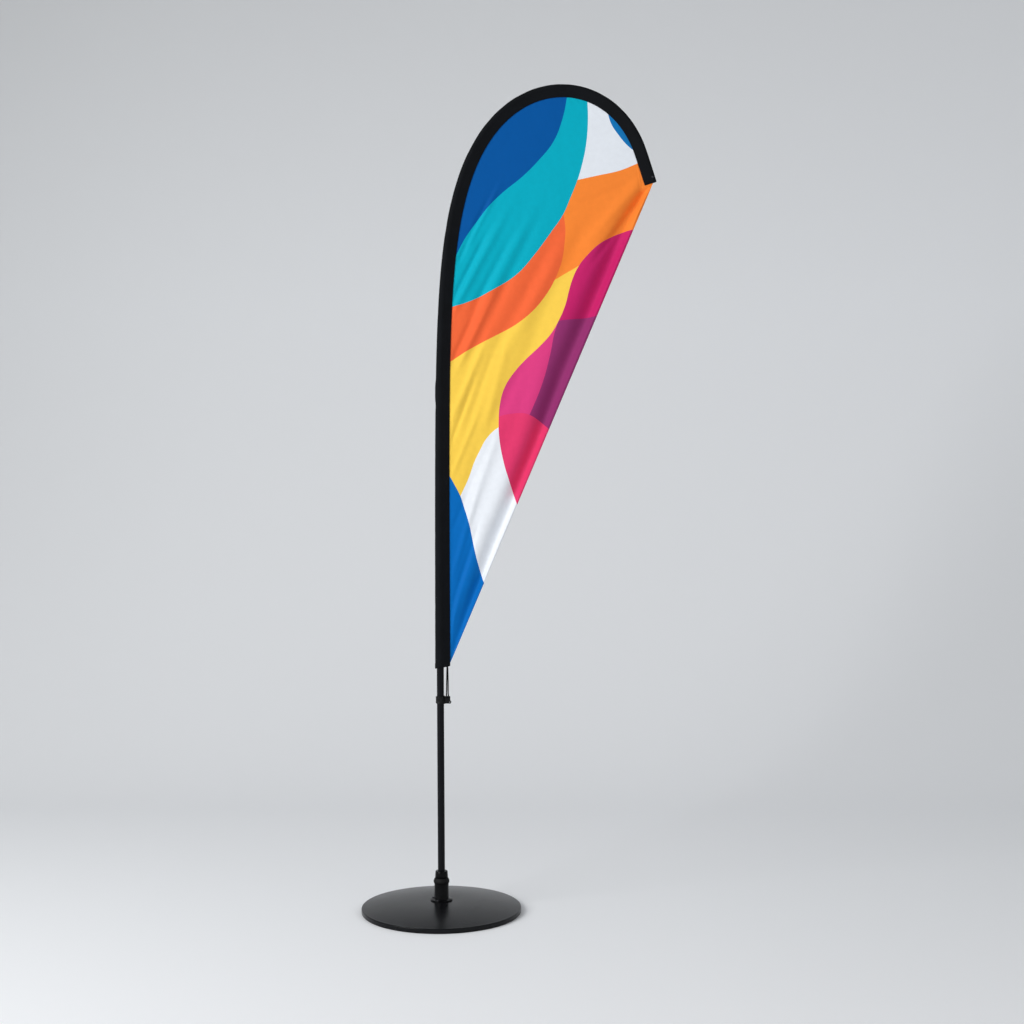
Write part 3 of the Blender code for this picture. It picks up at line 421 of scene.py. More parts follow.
def print_colour(made):
    """The whole print, layer over layer."""
    x, z = cloth_position(made)

    def left_of(points):
        """Points run upwards as (height, where the line lies across)."""
        return is_more(made, line_through(made, z, points), x)

    def right_of(points):
        return is_more(made, x, line_through(made, z, points))

    def above(points):
        """Points run across as (across, height of the line)."""
        return is_more(made, z, line_through(made, x, points))

    def below(points):
        return is_more(made, line_through(made, x, points), z)

    yellow = left_of([(1.12, 0.03), (1.172, 0.053), (1.227, 0.078), (1.265, 0.091),
                      (1.303, 0.109), (1.338, 0.129), (1.368, 0.162), (1.395, 0.22),
                      (1.42, 0.33)])
    orange = above([(0.28, 1.765), (0.32, 1.784), (0.347, 1.8), (0.386, 1.822),
                    (0.45, 1.86)])
    coral = both(made,
                 above([(0.02, 1.549), (0.091, 1.594), (0.156, 1.628), (0.217, 1.662),
                        (0.259, 1.697), (0.295, 1.741), (0.32, 1.784), (0.34, 1.835)]),
                 left_of([(1.784, 0.321), (1.837, 0.34), (1.891, 0.348), (1.931, 0.35),
                          (1.965, 0.345), (2.01, 0.335)]))
    upper_white = above([(0.34, 2.057), (0.384, 2.066), (0.443, 2.079), (0.502, 2.092),
                         (0.552, 2.112), (0.58, 2.125)])
    teal = left_of([(1.69, -0.03), (1.708, 0.033), (1.719, 0.07), (1.738, 0.112),
                    (1.767, 0.165), (1.803, 0.217), (1.854, 0.262), (1.919, 0.31),
                    (1.967, 0.343), (2.015, 0.364), (2.065, 0.384), (2.109, 0.397),
                    (2.162, 0.408), (2.227, 0.4135), (2.29, 0.412)])
    deep_blue = left_of([(1.8, 0.01), (1.843, 0.036), (1.863, 0.046), (1.902, 0.067),
                         (1.941, 0.094), (1.99, 0.132), (2.032, 0.1745), (2.075, 0.228),
                         (2.12, 0.273), (2.174, 0.316), (2.233, 0.34), (2.298, 0.354)])
    sliver = right_of([(2.12, 0.6), (2.152, 0.539), (2.171, 0.518), (2.194, 0.4995),
                       (2.2225, 0.4806), (2.2505, 0.471), (2.3, 0.462)])
    wave = [(1.145, 0.2146), (1.216, 0.191), (1.275, 0.174), (1.343, 0.1626), (1.391, 0.1615),
            (1.433, 0.165), (1.477, 0.177), (1.521, 0.204), (1.559, 0.238), (1.5915, 0.273),
            (1.628, 0.307), (1.668, 0.331), (1.713, 0.35), (1.7525, 0.36), (1.784, 0.3695),
            (1.82, 0.386), (1.861, 0.4195), (1.885, 0.446), (1.904, 0.477), (1.918, 0.508),
            (1.925, 0.535), (1.932, 0.6)]
    magenta = right_of(wave)
    pink = both(made, magenta, below([(0.3, 1.663), (0.333, 1.668), (0.372, 1.673),
                                      (0.433, 1.68), (0.48, 1.684)]))
    purple = both(made, pink, right_of([(1.38, 0.24), (1.403, 0.249), (1.425, 0.259),
                                        (1.494, 0.286), (1.572, 0.307), (1.632, 0.319),
                                        (1.668, 0.331)]))
    rose = both(made, magenta, below([(0.15, 1.39), (0.167, 1.399), (0.199, 1.4055),
                                      (0.234, 1.4065), (0.251, 1.401), (0.273, 1.388),
                                      (0.301, 1.364), (0.33, 1.33)]))
    lower_blue = left_of([(0.88, 0.145), (0.925, 0.121), (0.985, 0.102), (1.041, 0.089),
                          (1.094, 0.078), (1.1365, 0.065), (1.173, 0.053), (1.204, 0.037),
                          (1.23, 0.022), (1.25, 0.005)])
    colour = painted(made, "e8ecf2", yellow, "f7cd50")
    for mask, code in ((orange, "f98836"), (coral, "f2683b"), (upper_white, "e4e9f0"),
                       (teal, "03aac0"), (deep_blue, "02549d"), (sliver, "1574b6"),
                       (magenta, "c6246a"), (pink, "da3e80"), (purple, "93336e"),
                       (rose, "e03a6c"), (lower_blue, "0269b9")):
        colour = painted(made, colour, mask, code)
    return colour


print("print is drawn on a square of cloth", CLOTH_SPAN, "m wide")

# %% [markdown]
# ## The flag cloth
#
# Flag cloth is a light warp knit. Its loops stand in fine upright ribs, so light scatters softly and
# the weave only shows close up. Two sets of waves at right angles make soft ribs, on the cloth's own
# map, with a little noise so that no two ribs look alike. A wave node turns through a fixed number
# of radians for each unit of its scale, so every weave here is sized by the length of one radian.

# %% Cloth of the sail
WAVE_RADIANS = 20.0              # that a wave node turns through for each unit of its scale
RIB_RADIAN = 0.0009              # metres of cloth for one radian of a rib


def flag_cloth():
    made = finish("flag_cloth", "e8ecf2", 0.5, {"Specular IOR Level": 0.07})
    flat = add(made, "UVMap", uv_map=CLOTH_MAP).outputs["UV"]
    ribs = CLOTH_SPAN / RIB_RADIAN / WAVE_RADIANS
    height = None
    for direction in ("X", "Y"):
        waves = add(made, "TexWave", {"Vector": flat, "Scale": ribs, "Distortion": 0.0},
                    bands_direction=direction)
        height = waves.outputs["Fac"] if height is None else both(made, height, waves.outputs["Fac"])
    wander = add(made, "TexNoise", {"Vector": flat, "Scale": 160.0, "Detail": 4.0}).outputs["Fac"]
    weave = relief(made, height, 0.00012, 0.6)
    wire(made, relief(made, wander, 0.0006, 0.25, weave), "Normal")
    shade = add(made, "Mix", {0: 1.0, 6: print_colour(made)}, data_type="RGBA",
                blend_type="MULTIPLY")
    made.node_tree.links.new(tinted(made, wander, "f4f4f4", "ffffff"), shade.inputs[7])
    wire(made, shade.outputs[2], "Base Color")
    wire(made, between(made, wander, 0.55, 0.7), "Roughness")
    return made


sail_look = flag_cloth()
print("flag cloth ribs are", round(math.tau * RIB_RADIAN * 1000.0, 1), "mm apart")

# %% [markdown]
# ## The sail
#
# The sail fills the drop between the pocket and the straight free edge. Its cut is a grid that runs
# from the seam, across to the free edge, and from the foot up to the tip. A cloth simulation could
# wrinkle it, but this cloth is held so tight that its few folds are known: one long roll beside the
# free edge, folds that fan out of the tip, and shallow pulls near the seam. Each is a soft stroke
# that pushes the cloth forwards or back.

# %% Size of the sail
SLEEVE_FOOT = 0.642
SLEEVE_TIP = MAST_END - 0.002
SLEEVE_INSIDE = 0.0278
PANEL_FOOT = SLEEVE_FOOT + 0.015
SEAM_TUCK = 0.004                # cloth hidden between the pocket's two layers
TIP_ACROSS = 0.72 * (SLEEVE_INSIDE + 0.0072)    # from the seam, under the pocket's closed end
TOUCHING = 0.0003                # gap left between pieces that touch

foot_corner = along_mast(PANEL_FOOT, SLEEVE_INSIDE + TOUCHING)
tip_corner = along_mast(SLEEVE_TIP + TOUCHING, SLEEVE_INSIDE + TOUCHING - TIP_ACROSS)
edge_run = tip_corner - foot_corner
edge_length = float(np.linalg.norm(edge_run))
edge_way = edge_run / edge_length
into_cloth = np.array([-edge_way[2], 0.0, edge_way[0]])
print("free edge is", round(edge_length, 3), "m long")


# %% Folds of the sail
def across_edge(points):
    """Distance of points from the free edge, and their share along it from foot to tip."""
    apart = points - foot_corner
    return apart @ into_cloth, apart @ edge_way / edge_length


def swell(value, middle, width):
    """A soft hill, 1 high, about a middle."""
    return np.exp(-((value - middle) / width) ** 2)


def stroke(points, start, end, width, depth):
    """A fold along a straight stroke from start to end, in X and Z, that fades at both ends."""
    start, end = np.array(start), np.array(end)
    run = end - start
    size = float(np.linalg.norm(run))
    way = run / size
    apart = points[:, [0, 2]] - start
    share = apart @ way / size
    off = apart @ np.array([way[1], -way[0]])
    fade = 1.0 / (1.0 + np.exp(-(share + 0.02) * 14.0)) / (1.0 + np.exp((share - 1.0) * 9.0))
    return depth * fade * swell(off, 0.0, width)


# start, end, width and height of each fold; a height above 0 stands towards the front
FOLDS = [
    ((0.577, 2.04), (0.44, 1.85), 0.009, -0.0062),
    ((0.587, 2.035), (0.505, 1.89), 0.006, 0.0046),
    ((0.592, 2.04), (0.545, 1.94), 0.003, -0.0016),
    ((0.56, 2.055), (0.42, 1.9), 0.014, 0.003),
    ((0.545, 2.062), (0.4, 2.0), 0.012, -0.0022),
    ((0.036, 1.7), (0.165, 1.94), 0.011, 0.0052),
    ((0.036, 1.735), (0.12, 1.9), 0.007, -0.0042),
    ((0.052, 1.845), (0.128, 2.0), 0.0065, -0.005),
    ((0.072, 1.88), (0.152, 2.03), 0.007, 0.0042),
    ((0.08, 1.69), (0.19, 1.89), 0.01, -0.0036),
    ((0.11, 1.7), (0.24, 1.94), 0.014, 0.0036),
    ((0.165, 1.74), (0.26, 1.93), 0.012, -0.0022),
    ((0.034, 1.56), (0.125, 1.76), 0.009, -0.0044),
    ((0.052, 1.545), (0.15, 1.75), 0.008, 0.0032),
    ((0.08, 1.56), (0.19, 1.78), 0.014, -0.0036),
    ((0.16, 1.6), (0.3, 1.86), 0.02, -0.0044),
    ((0.2, 1.61), (0.34, 1.88), 0.018, 0.004),
    ((0.27, 1.66), (0.4, 1.92), 0.02, -0.0026),
    ((0.034, 1.4), (0.115, 1.59), 0.01, 0.004),
    ((0.03, 1.33), (0.085, 1.48), 0.007, -0.003),
    ((0.075, 1.38), (0.15, 1.59), 0.01, -0.0024),
    ((0.11, 1.31), (0.19, 1.62), 0.013, 0.003),
    ((0.15, 1.38), (0.27, 1.64), 0.02, -0.004),
    ((0.034, 1.24), (0.1, 1.4), 0.008, 0.0026),
    ((0.06, 1.18), (0.14, 1.4), 0.012, -0.0024),
    ((0.036, 1.09), (0.11, 1.27), 0.009, -0.002),
    ((0.08, 1.12), (0.16, 1.35), 0.011, 0.0024),
    ((0.036, 0.96), (0.095, 1.16), 0.009, 0.0028),
    ((0.055, 0.93), (0.1, 1.08), 0.007, -0.0026),
    ((0.03, 0.86), (0.07, 1.0), 0.007, -0.002),
    ((0.026, 0.79), (0.055, 0.9), 0.006, 0.0014),
]
ROLL_DEPTH = 0.018               # of the long roll beside the free edge
RIPPLE_HEIGHT = 0.0006


def fold_height(points):
    """How far the cloth stands towards the front. The roll is a valley between two low ridges."""
    off, share = across_edge(points)
    share = share.clip(0.0, 1.0)
    middle = np.interp(share, [0.0, 0.1, 0.25, 0.45, 0.6, 0.85, 0.93, 1.0],
                       [0.004, 0.013, 0.02, 0.021, 0.028, 0.027, 0.022, 0.01])
    depth = ROLL_DEPTH * np.interp(share, [0.0, 0.08, 0.2, 0.5, 0.85, 0.95, 1.0],
                                   [0.0, 0.35, 0.75, 1.0, 1.0, 0.6, 0.1])
    width = 0.004 + 0.62 * middle
    height = -depth * swell(off, middle, np.where(off > middle, 1.1 * width, 0.8 * width))
    height += 0.25 * depth * swell(off, middle + 2.6 * width, 1.3 * width)
    height += 0.42 * depth * swell(off, 0.22 * middle, 0.2 * middle + 0.001)
    for start, end, wide, high in FOLDS:
        height += stroke(points, start, end, wide, high)
    return height


def ripples(points):
    """Slow unevenness of the cloth, a fraction of a millimetre."""
    return np.array([noise.fractal(Vector((x * 16.0, 0.0, z * 9.0)), 0.8, 2.0, 3)
                     for x, _, z in points]) * RIPPLE_HEIGHT

# %% Cut and fold the sail
SAIL_COLUMNS = 110
SAIL_ROWS = 380
CLOTH_THICKNESS = 0.0004
SEAM_HOLD = 0.02                 # over this distance from the seam the folds die out
PUCKER_HEIGHT = 0.0005           # of the small gathers that the seam's thread pulls up
PUCKER_REACH = 0.012
TIP_REACH = 0.085                # as far from the tip as the pocket's closed end matters
TIP_FADE = 0.025


def clear_of_tip(points, from_seam):
    """Distance from the pocket, which near its closed end is a straight box."""
    turn = float(heading(SLEEVE_TIP))
    apart = points - along_mast(SLEEVE_TIP, 0.0)
    beyond = apart @ np.array([math.sin(turn), 0.0, math.cos(turn)])
    aside = apart @ np.array([math.cos(turn), 0.0, -math.sin(turn)]) - SLEEVE_INSIDE
    boxed = np.hypot(beyond.clip(0.0), aside.clip(0.0))
    near = ((TIP_REACH - np.linalg.norm(apart, axis=1)) / TIP_FADE).clip(0.0, 1.0)
    return from_seam + (np.minimum(from_seam, boxed) - from_seam) * near


def sail_sides(along):
    """Length along the mast, and the points of the seam and of the free edge."""
    length = PANEL_FOOT + (SLEEVE_TIP + TOUCHING - PANEL_FOOT) * along
    return (length, along_mast(length, SLEEVE_INSIDE - SEAM_TUCK),
            foot_corner + edge_run * along[:, None])


def on_sail(across, along):
    """Points of the folded sail: across from the seam to the free edge, along from the foot."""
    length, seam, edge = sail_sides(along)
    points = seam + (edge - seam) * across[:, None]
    from_seam = np.linalg.norm(points - seam, axis=1) - SEAM_TUCK
    from_seam = clear_of_tip(points, from_seam)
    held = (from_seam / SEAM_HOLD).clip(0.0, 1.0) ** 1.5
    pucker = PUCKER_HEIGHT * np.sin(length * 330.0 + 2.0 * np.sin(length * 47.0))
    pucker *= np.exp(-(from_seam / PUCKER_REACH) ** 2) * (from_seam / 0.004).clip(0.0, 1.0)
    points[:, 1] -= held * (fold_height(points) + ripples(points)) + pucker
    return points


def mapped_flat(piece):
    """Give a piece a UV map of its X and Z on the flat cloth."""
    mesh = piece.data
    layer = mesh.uv_layers.new(name=CLOTH_MAP)
    spots = np.zeros(len(mesh.vertices) * 3, np.float32)
    mesh.vertices.foreach_get("co", spots)
    corners = np.zeros(len(mesh.loops), np.int32)
    mesh.loops.foreach_get("vertex_index", corners)
    flat = spots.reshape(-1, 3)[corners][:, [0, 2]] / CLOTH_SPAN
    layer.uv.foreach_set("vector", flat.astype(np.float32).ravel())
    return piece


sail = stand("sail", wrapped(SAIL_COLUMNS, SAIL_ROWS, on_sail), sail_look)
mapped_flat(sail)
walled(sail, CLOTH_THICKNESS, 0.0)
fitted(sail, "mast", "printed_fabric", "sail_panel")

# %% [markdown]
# ## The pocket
#
# A band of black polyester is folded round the mast and sewn to the sail on both sides. Its section
# is round over the mast and runs straight to the seam. The band is a strip that is carried round that
# section at every length along the mast, and then gets its thickness.

# %% Section of the pocket
MAST_RADIUS = 0.01
CAP_RADIUS = 0.0053
FLEX_JOINT = 2.0 * SECTION       # where the bent rod starts, in its ferrule
HEM_SLANT = 0.0068               # the hem rises this much from the mast to the sail
WRINKLE = 0.00035


def pocket_outside(length):
    """From the mast's centre to the pocket's outer edge, with a swelling over the ferrule."""
    plain = np.interp(length, [SLEEVE_FOOT, FLEX_JOINT, SLEEVE_TIP],
                      [MAST_RADIUS + 0.0038, MAST_RADIUS + 0.0015, CAP_RADIUS + 0.0019])
    return plain + 0.0016 * np.exp(-((length - FLEX_JOINT) / 0.028) ** 4)


def pocket_gap(length):
    """Half the distance between the two layers at the seam. It opens at the hem."""
    return 0.0011 + 0.004 * np.exp(-(length - SLEEVE_FOOT) / 0.03)


def on_pocket(around, along, start=SLEEVE_FOOT, end=SLEEVE_TIP, outwards=0.0):
    """Points of the pocket: around from the front seam, over the mast, to the back seam."""
    length = start + (end - start) * along
    round_part, gap = pocket_outside(length), pocket_gap(length)
    far = np.hypot(SLEEVE_INSIDE, gap)
    touch = np.arccos(round_part / far) + np.arctan2(gap, SLEEVE_INSIDE)
    straight = np.sqrt(far ** 2 - round_part ** 2)
    arc = (math.tau - 2.0 * touch) * round_part
    walk = around * (2.0 * straight + arc)
    angle = -touch - (walk - straight) / round_part
    inward = round_part * np.cos(angle)
    sideways = round_part * np.sin(angle)
    for side, walked_back in ((-1.0, walk), (1.0, 2.0 * straight + arc - walk)):
        share = walked_back / straight
        flat = share < 1.0
        inward = np.where(flat, SLEEVE_INSIDE + (round_part * np.cos(touch) - SLEEVE_INSIDE) * share,
                          inward)
        sideways = np.where(flat, side * (gap + (round_part * np.sin(touch) - gap) * share), sideways)
    wrinkle = np.array([noise.noise(Vector((a * 60.0, b * 900.0, 5.0)))
                        for a, b in zip(walk, length / 30.0)]) * WRINKLE
    size = np.hypot(inward, sideways)
    seam_part = np.exp(-((walk - (straight + arc / 2.0)) / (0.6 * straight + arc / 2.0)) ** 8)
    grow = 1.0 + (wrinkle * seam_part - np.abs(wrinkle) + outwards) / size
    closing = ((SLEEVE_TIP - length) / 0.0045).clip(0.0, 1.0)
    sideways = sideways * np.sqrt(1.0 - (1.0 - closing) ** 2 * 0.985)
    rise = HEM_SLANT * np.exp(-(length - SLEEVE_FOOT) / 0.055)
    rise *= (inward + round_part) / (SLEEVE_INSIDE + round_part)
    return along_mast(length + rise, inward * grow, sideways * grow)

# %% [markdown]
# ## Cloth of the pocket
#
# The pocket is a closely woven black polyester. Two sets of slanted waves cross as its twill does,
# and its nap gives a soft sheen at the edges. The weave runs on the strip's own map, in metres.

# %% Woven black cloth
TWILL_RADIAN = 0.0007


def woven(name, dark, light, radian, depth, reach, roughness=0.82, sheen=0.03):
    """Woven cloth on a strip's map. Reach is the strip's size in metres."""
    made = finish(name, dark, roughness, {"Sheen Weight": sheen, "Sheen Roughness": 0.45,
                                          "Specular IOR Level": 0.1})
    strip = add(made, "UVMap", uv_map=STRIP_MAP).outputs["UV"]
    metres = add(made, "Mapping", {"Vector": strip, "Scale": (*reach, 1.0)}).outputs["Vector"]
    height = None
    for angle in (45.0, -45.0):
        turned_map = add(made, "Mapping", {"Vector": metres,
                                           "Rotation": (0.0, 0.0, math.radians(angle))})
        threads = add(made, "TexWave", {"Vector": turned_map.outputs["Vector"],
                                        "Scale": 1.0 / radian / WAVE_RADIANS})
        fac = threads.outputs["Fac"]
        height = fac if height is None else both(made, height, fac)
    fuzz = speckle(made, 900.0, 3.0)
    slow = speckle(made, 22.0, 3.0)
    weave = relief(made, height, depth, 0.8)
    wire(made, relief(made, fuzz, 0.0002, 0.4, weave), "Normal")
    wire(made, tinted(made, slow, dark, light), "Base Color")
    wire(made, between(made, fuzz, roughness - 0.08, roughness + 0.1), "Roughness")
    return made


pocket_reach = (0.085, SLEEVE_TIP - SLEEVE_FOOT)
pocket_look = woven("pocket_cloth", "090b0e", "111317", TWILL_RADIAN, 0.00015, pocket_reach)
print("pocket twill repeats every", round(math.tau * TWILL_RADIAN * 1000.0, 1), "mm")

# %% Sew the pocket
POCKET_AROUND = 44
POCKET_ALONG = 620
POCKET_THICKNESS = 0.0007

pocket = stand("pocket", wrapped(POCKET_AROUND, POCKET_ALONG, on_pocket), pocket_look)
walled(pocket, POCKET_THICKNESS)
fitted(pocket, "mast", "sleeve_fabric", "pole_sleeve")
pocket_area = sum(face.area for face in pocket.data.polygons)
print("pocket has", len(pocket.data.polygons), "faces and", round(pocket_area, 3), "square metres")

# %% [markdown]
# ## Hems
#
# Cut cloth frays, so the free edge is turned over to the back, and the pocket's mouth gets a second
# layer. Each hem is one more narrow strip, laid on the cloth that it doubles. It could be a line in
# the material, but a strip catches light along its edge as the real one does.

# %% Lay the hems
HEM_WIDTH = 0.0085
MOUTH_WIDTH = 0.014


def near_edge(inside, along):
    """Points of the sail at a distance inside its free edge."""
    _, seam, edge = sail_sides(along)
    room = np.linalg.norm(edge - seam, axis=1)
    return on_sail(1.0 - np.minimum(inside / room, 0.85), along)


def on_sail_hem(across, along):
    """From the front of the free edge, round it, and inwards over the back."""
    along = 0.012 + 0.976 * along
    turned_over = (across - 0.1).clip(0.0) / 0.9
    points = near_edge(HEM_WIDTH * turned_over, along)
    points[:, 1] += np.where(across < 0.05, -0.0004, 0.0006)
    return points


sail_hem = stand("sail_hem", wrapped(8, 380, on_sail_hem), sail_look)
mapped_flat(sail_hem)
walled(sail_hem, CLOTH_THICKNESS, 0.0)
fitted(sail_hem, "mast", "printed_fabric")


def on_mouth(across, along):
    return on_pocket(0.03 + 0.94 * across, along, SLEEVE_FOOT - 0.0003, SLEEVE_FOOT + MOUTH_WIDTH,
                     0.0006)


pocket_hem = stand("pocket_hem", wrapped(44, 8, on_mouth), pocket_look)
walled(pocket_hem, POCKET_THICKNESS)
fitted(pocket_hem, "mast", "sleeve_fabric")
print("sail hem is", HEM_WIDTH * 1000.0, "mm wide, pocket hem", MOUTH_WIDTH * 1000.0, "mm")

# %% [markdown]
# ## Stitches
#
# A row of stitches is short beads of thread, each pressed a little into the cloth. Every bead is a
# small icosphere of twenty faces, stretched along its row. The thread of the free edge takes the
# print's own colours, because the hem is sewn before it is dyed. Real geometry is worth it here,
# because a seam is read from the shadows between its stitches.

# %% Thread and rows of stitches
STITCH = 0.0026
STITCH_PITCH = 0.0034
THREAD_RADIUS = 0.00032


def thread(name, colour):
    made = finish(name, colour, 0.6, {"Specular IOR Level": 0.3})
    fibres = speckle(made, 2500.0, 2.0)
    wire(made, relief(made, fibres, 0.0001, 0.6), "Normal")
    wire(made, between(made, fibres, 0.5, 0.75), "Roughness")
    return made


def stitch_row(shape, line):
    """Beads along a line of points, one for each pitch."""
    gaps = np.linalg.norm(np.diff(line, axis=0), axis=1)
    run = np.concatenate(([0.0], np.cumsum(gaps)))
    count = int(run[-1] / STITCH_PITCH)
    for middle in (np.arange(count) + 0.5) * STITCH_PITCH:
        ends = [Vector([np.interp(middle + side * STITCH / 2.0, run, line[:, i]) for i in range(3)])
                for side in (-1.0, 1.0)]
        lie = (ends[1] - ends[0]).to_track_quat("X", "Z").to_matrix().to_4x4()
        size = Matrix.Diagonal((STITCH / 2.0, THREAD_RADIUS, THREAD_RADIUS, 1.0))
        place = Matrix.Translation((ends[0] + ends[1]) / 2.0) @ lie @ size
        bmesh.ops.create_icosphere(shape, subdivisions=1, radius=1.0, matrix=place)
    return count


def shares(count):
    """Evenly spaced shares from 0 to 1, as an array."""
    return np.linspace(0.0, 1.0, count)


black_thread = thread("black_thread", "131418")
# The bar tack's thread is blue-grey as a painted highlight: it stands in for the glint on the pocket's
# black closed end.
tack_glint_thread = thread("tack_glint_thread", "2c3f4b")

# %% Sew the seams
seams = bmesh.new()
sewn = 0
for around in (0.035, 0.965):
    sewn += stitch_row(seams, on_pocket(np.full(900, around), 0.012 + 0.985 * shares(900),
                                        outwards=0.0004))
for height in (0.0105, 0.0125):
    level = np.full(90, height / (SLEEVE_TIP - SLEEVE_FOOT))
    sewn += stitch_row(seams, on_pocket(0.05 + 0.9 * shares(90), level, outwards=0.001))
pocket_stitches = stand("pocket_stitches", seams, black_thread)
fitted(pocket_stitches, "mast", "sleeve_fabric")

# The bar tack is real stitching; the blue-grey colour of its thread is a painted glint.
tack = bmesh.new()
for back in (0.006, 0.0068, 0.0076):
    level = np.full(60, 1.0 - back / (SLEEVE_TIP - SLEEVE_FOOT))
    for first, last in ((0.12, 0.36), (0.64, 0.88)):
        sewn += stitch_row(tack, on_pocket(first + (last - first) * shares(60), level,
                                           outwards=0.0004))
tip_tack = stand("tip_tack", tack, tack_glint_thread)
fitted(tip_tack, "mast", "sleeve_fabric")

edge_seam = bmesh.new()
for side in (-0.0003, 0.001):
    line = near_edge(np.full(900, HEM_WIDTH - 0.0016), 0.014 + 0.97 * shares(900))
    line[:, 1] += side
    sewn += stitch_row(edge_seam, line)
sail_hem_stitches = mapped_flat(stand("sail_hem_stitches", edge_seam, sail_look))
fitted(sail_hem_stitches, "mast", "printed_fabric")
print(sewn, "stitches sewn")

# %% [markdown]
# ## Turned and flat pieces
#
# Most of the metal is turned on a lathe, so it is a line of points spun about an axis. Sheet and
# moulded plates are drawn as outlines with their holes, which a 2D curve fills, and then get their
# thickness. Both helpers give a bmesh, so that pieces can still be moved or joined before they stand.

# %% Lathe and outline helpers
def turned(profile, segments, ring=False):
    """Spin a line of (radius, height) about Z. A ring's line runs back to its start."""
    shape = bmesh.new()
    spots = [shape.verts.new((radius, 0.0, height)) for radius, height in profile]
    pairs = list(zip(spots, spots[1:])) + ([(spots[-1], spots[0])] if ring else [])
    edges = [shape.edges.new(pair) for pair in pairs]
    bmesh.ops.spin(shape, geom=spots + edges, cent=(0.0, 0.0, 0.0), axis=(0.0, 0.0, 1.0),
                   angle=math.tau, steps=segments, use_merge=True)
    bmesh.ops.remove_doubles(shape, verts=shape.verts, dist=WELD)
    bmesh.ops.recalc_face_normals(shape, faces=shape.faces)
    return shape


def flat_cut(outlines, thickness, round_edge):
    """A plate about the plane z = 0. The first outline is its rim and the others are holes."""
    drawing = bpy.data.curves.new("outline", "CURVE")
    drawing.dimensions = "2D"
    drawing.fill_mode = "BOTH"
    drawing.extrude = thickness / 2.0 - round_edge
    drawing.bevel_depth = round_edge
    drawing.bevel_resolution = 2
    drawing.offset = -round_edge
    for points in outlines:
        line = drawing.splines.new("POLY")
        line.points.add(len(points) - 1)
        for spot, (x, y) in zip(line.points, points):
            spot.co = (x, y, 0.0, 1.0)
        line.use_cyclic_u = True
    drawn = bpy.data.objects.new("outline", drawing)
    mesh = bpy.data.meshes.new_from_object(drawn)
    shape = bmesh.new()
    shape.from_mesh(mesh)
    bpy.data.objects.remove(drawn)
    bpy.data.curves.remove(drawing)
    bpy.data.meshes.remove(mesh)
    bmesh.ops.remove_doubles(shape, verts=shape.verts, dist=WELD)
    bmesh.ops.recalc_face_normals(shape, faces=shape.faces)
    return shape


def put(shape, spot, turn=None):
    """Turn a shape about the origin and move it to its place."""
    if turn:
        bmesh.ops.rotate(shape, verts=shape.verts, cent=(0.0, 0.0, 0.0), matrix=turn)
    bmesh.ops.translate(shape, verts=shape.verts, vec=spot)
    return shape


def circle(x, y, radius, count=24):
    return [(x + radius * math.cos(math.tau * i / count), y + radius * math.sin(math.tau * i / count))
            for i in range(count)]


def join(shape, other):
    """Pour another shape's faces into a shape."""
    poured = bpy.data.meshes.new("poured")
    other.to_mesh(poured)
    other.free()
    shape.from_mesh(poured)
    bpy.data.meshes.remove(poured)
    return shape


FACING_FRONT = Matrix.Rotation(math.radians(90.0), 3, "X")    # +Z turns to the front, -Y
FACING_BACK = Matrix.Rotation(math.radians(-90.0), 3, "X")
print("lathe and outline helpers are ready")

# %% [markdown]
# ## Black finishes
#
# Six black finishes meet on this flag, and only their gloss and grain tell them apart. Powder coat
# has a fine orange-peel skin. Paint is smoother. Moulded nylon has a fine spark-eroded grain, rubber is
# dull, and anodised tube has faint lines along its length from drawing. Wear shows as slightly
# smoother and paler patches.

# %% Black finishes
def grained(name, dark, light, gloss, grain, depth, stretch=(1.0, 1.0, 1.0), sockets=None):
    """A black finish: fine grain, and slow patches in its colour and gloss."""
    made = finish(name, dark, gloss[0], sockets)
    fine = speckle(made, grain, 3.0, stretch)
    slow = speckle(made, 14.0, 4.0)
    wire(made, relief(made, fine, depth, 0.5), "Normal")
    wire(made, tinted(made, slow, dark, light), "Base Color")
    wire(made, between(made, both(made, fine, slow), *gloss), "Roughness")
    return made


def shine(level):
    return {"Specular IOR Level": level}


powder_coat = grained("powder_coat", "0b0c0e", "111215", (0.22, 0.36), 700.0, 0.00005,
                      sockets=shine(0.16))
hub_paint = grained("hub_paint", "030304", "060709", (0.24, 0.42), 900.0, 0.00004,
                    sockets=shine(0.13))
tube_finish = grained("anodised_tube", "08090d", "0d0e13", (0.28, 0.46), 420.0, 0.00004,
                      (1.0, 1.0, 0.02), shine(0.13))
nylon = grained("moulded_nylon", "070809", "0d0e10", (0.4, 0.6), 1600.0, 0.00008,
                sockets=shine(0.2))
rubber = grained("moulded_rubber", "0a0a0b", "121213", (0.6, 0.9), 1100.0, 0.00012,
                 sockets=shine(0.2))
fibre = grained("wound_fibre", "0b0c0d", "151618", (0.3, 0.55), 500.0, 0.00006, (1.0, 1.0, 0.03))
print("black finishes:", powder_coat.name, hub_paint.name, tube_finish.name, nylon.name)

# %% [markdown]
# ## Metal finishes
#
# Hidden metal parts get real finishes too, because the flag can be taken apart: rolled steel for the
# weight, ground steel for the bearings and zinc for the fasteners. Metals take nearly all their looks
# from reflections, so what changes over them is roughness.

# %% Metals
def metal(name, dark, light, gloss, grain, depth, stretch=(1.0, 1.0, 1.0)):
    return grained(name, dark, light, gloss, grain, depth, stretch, {"Metallic": 1.0})


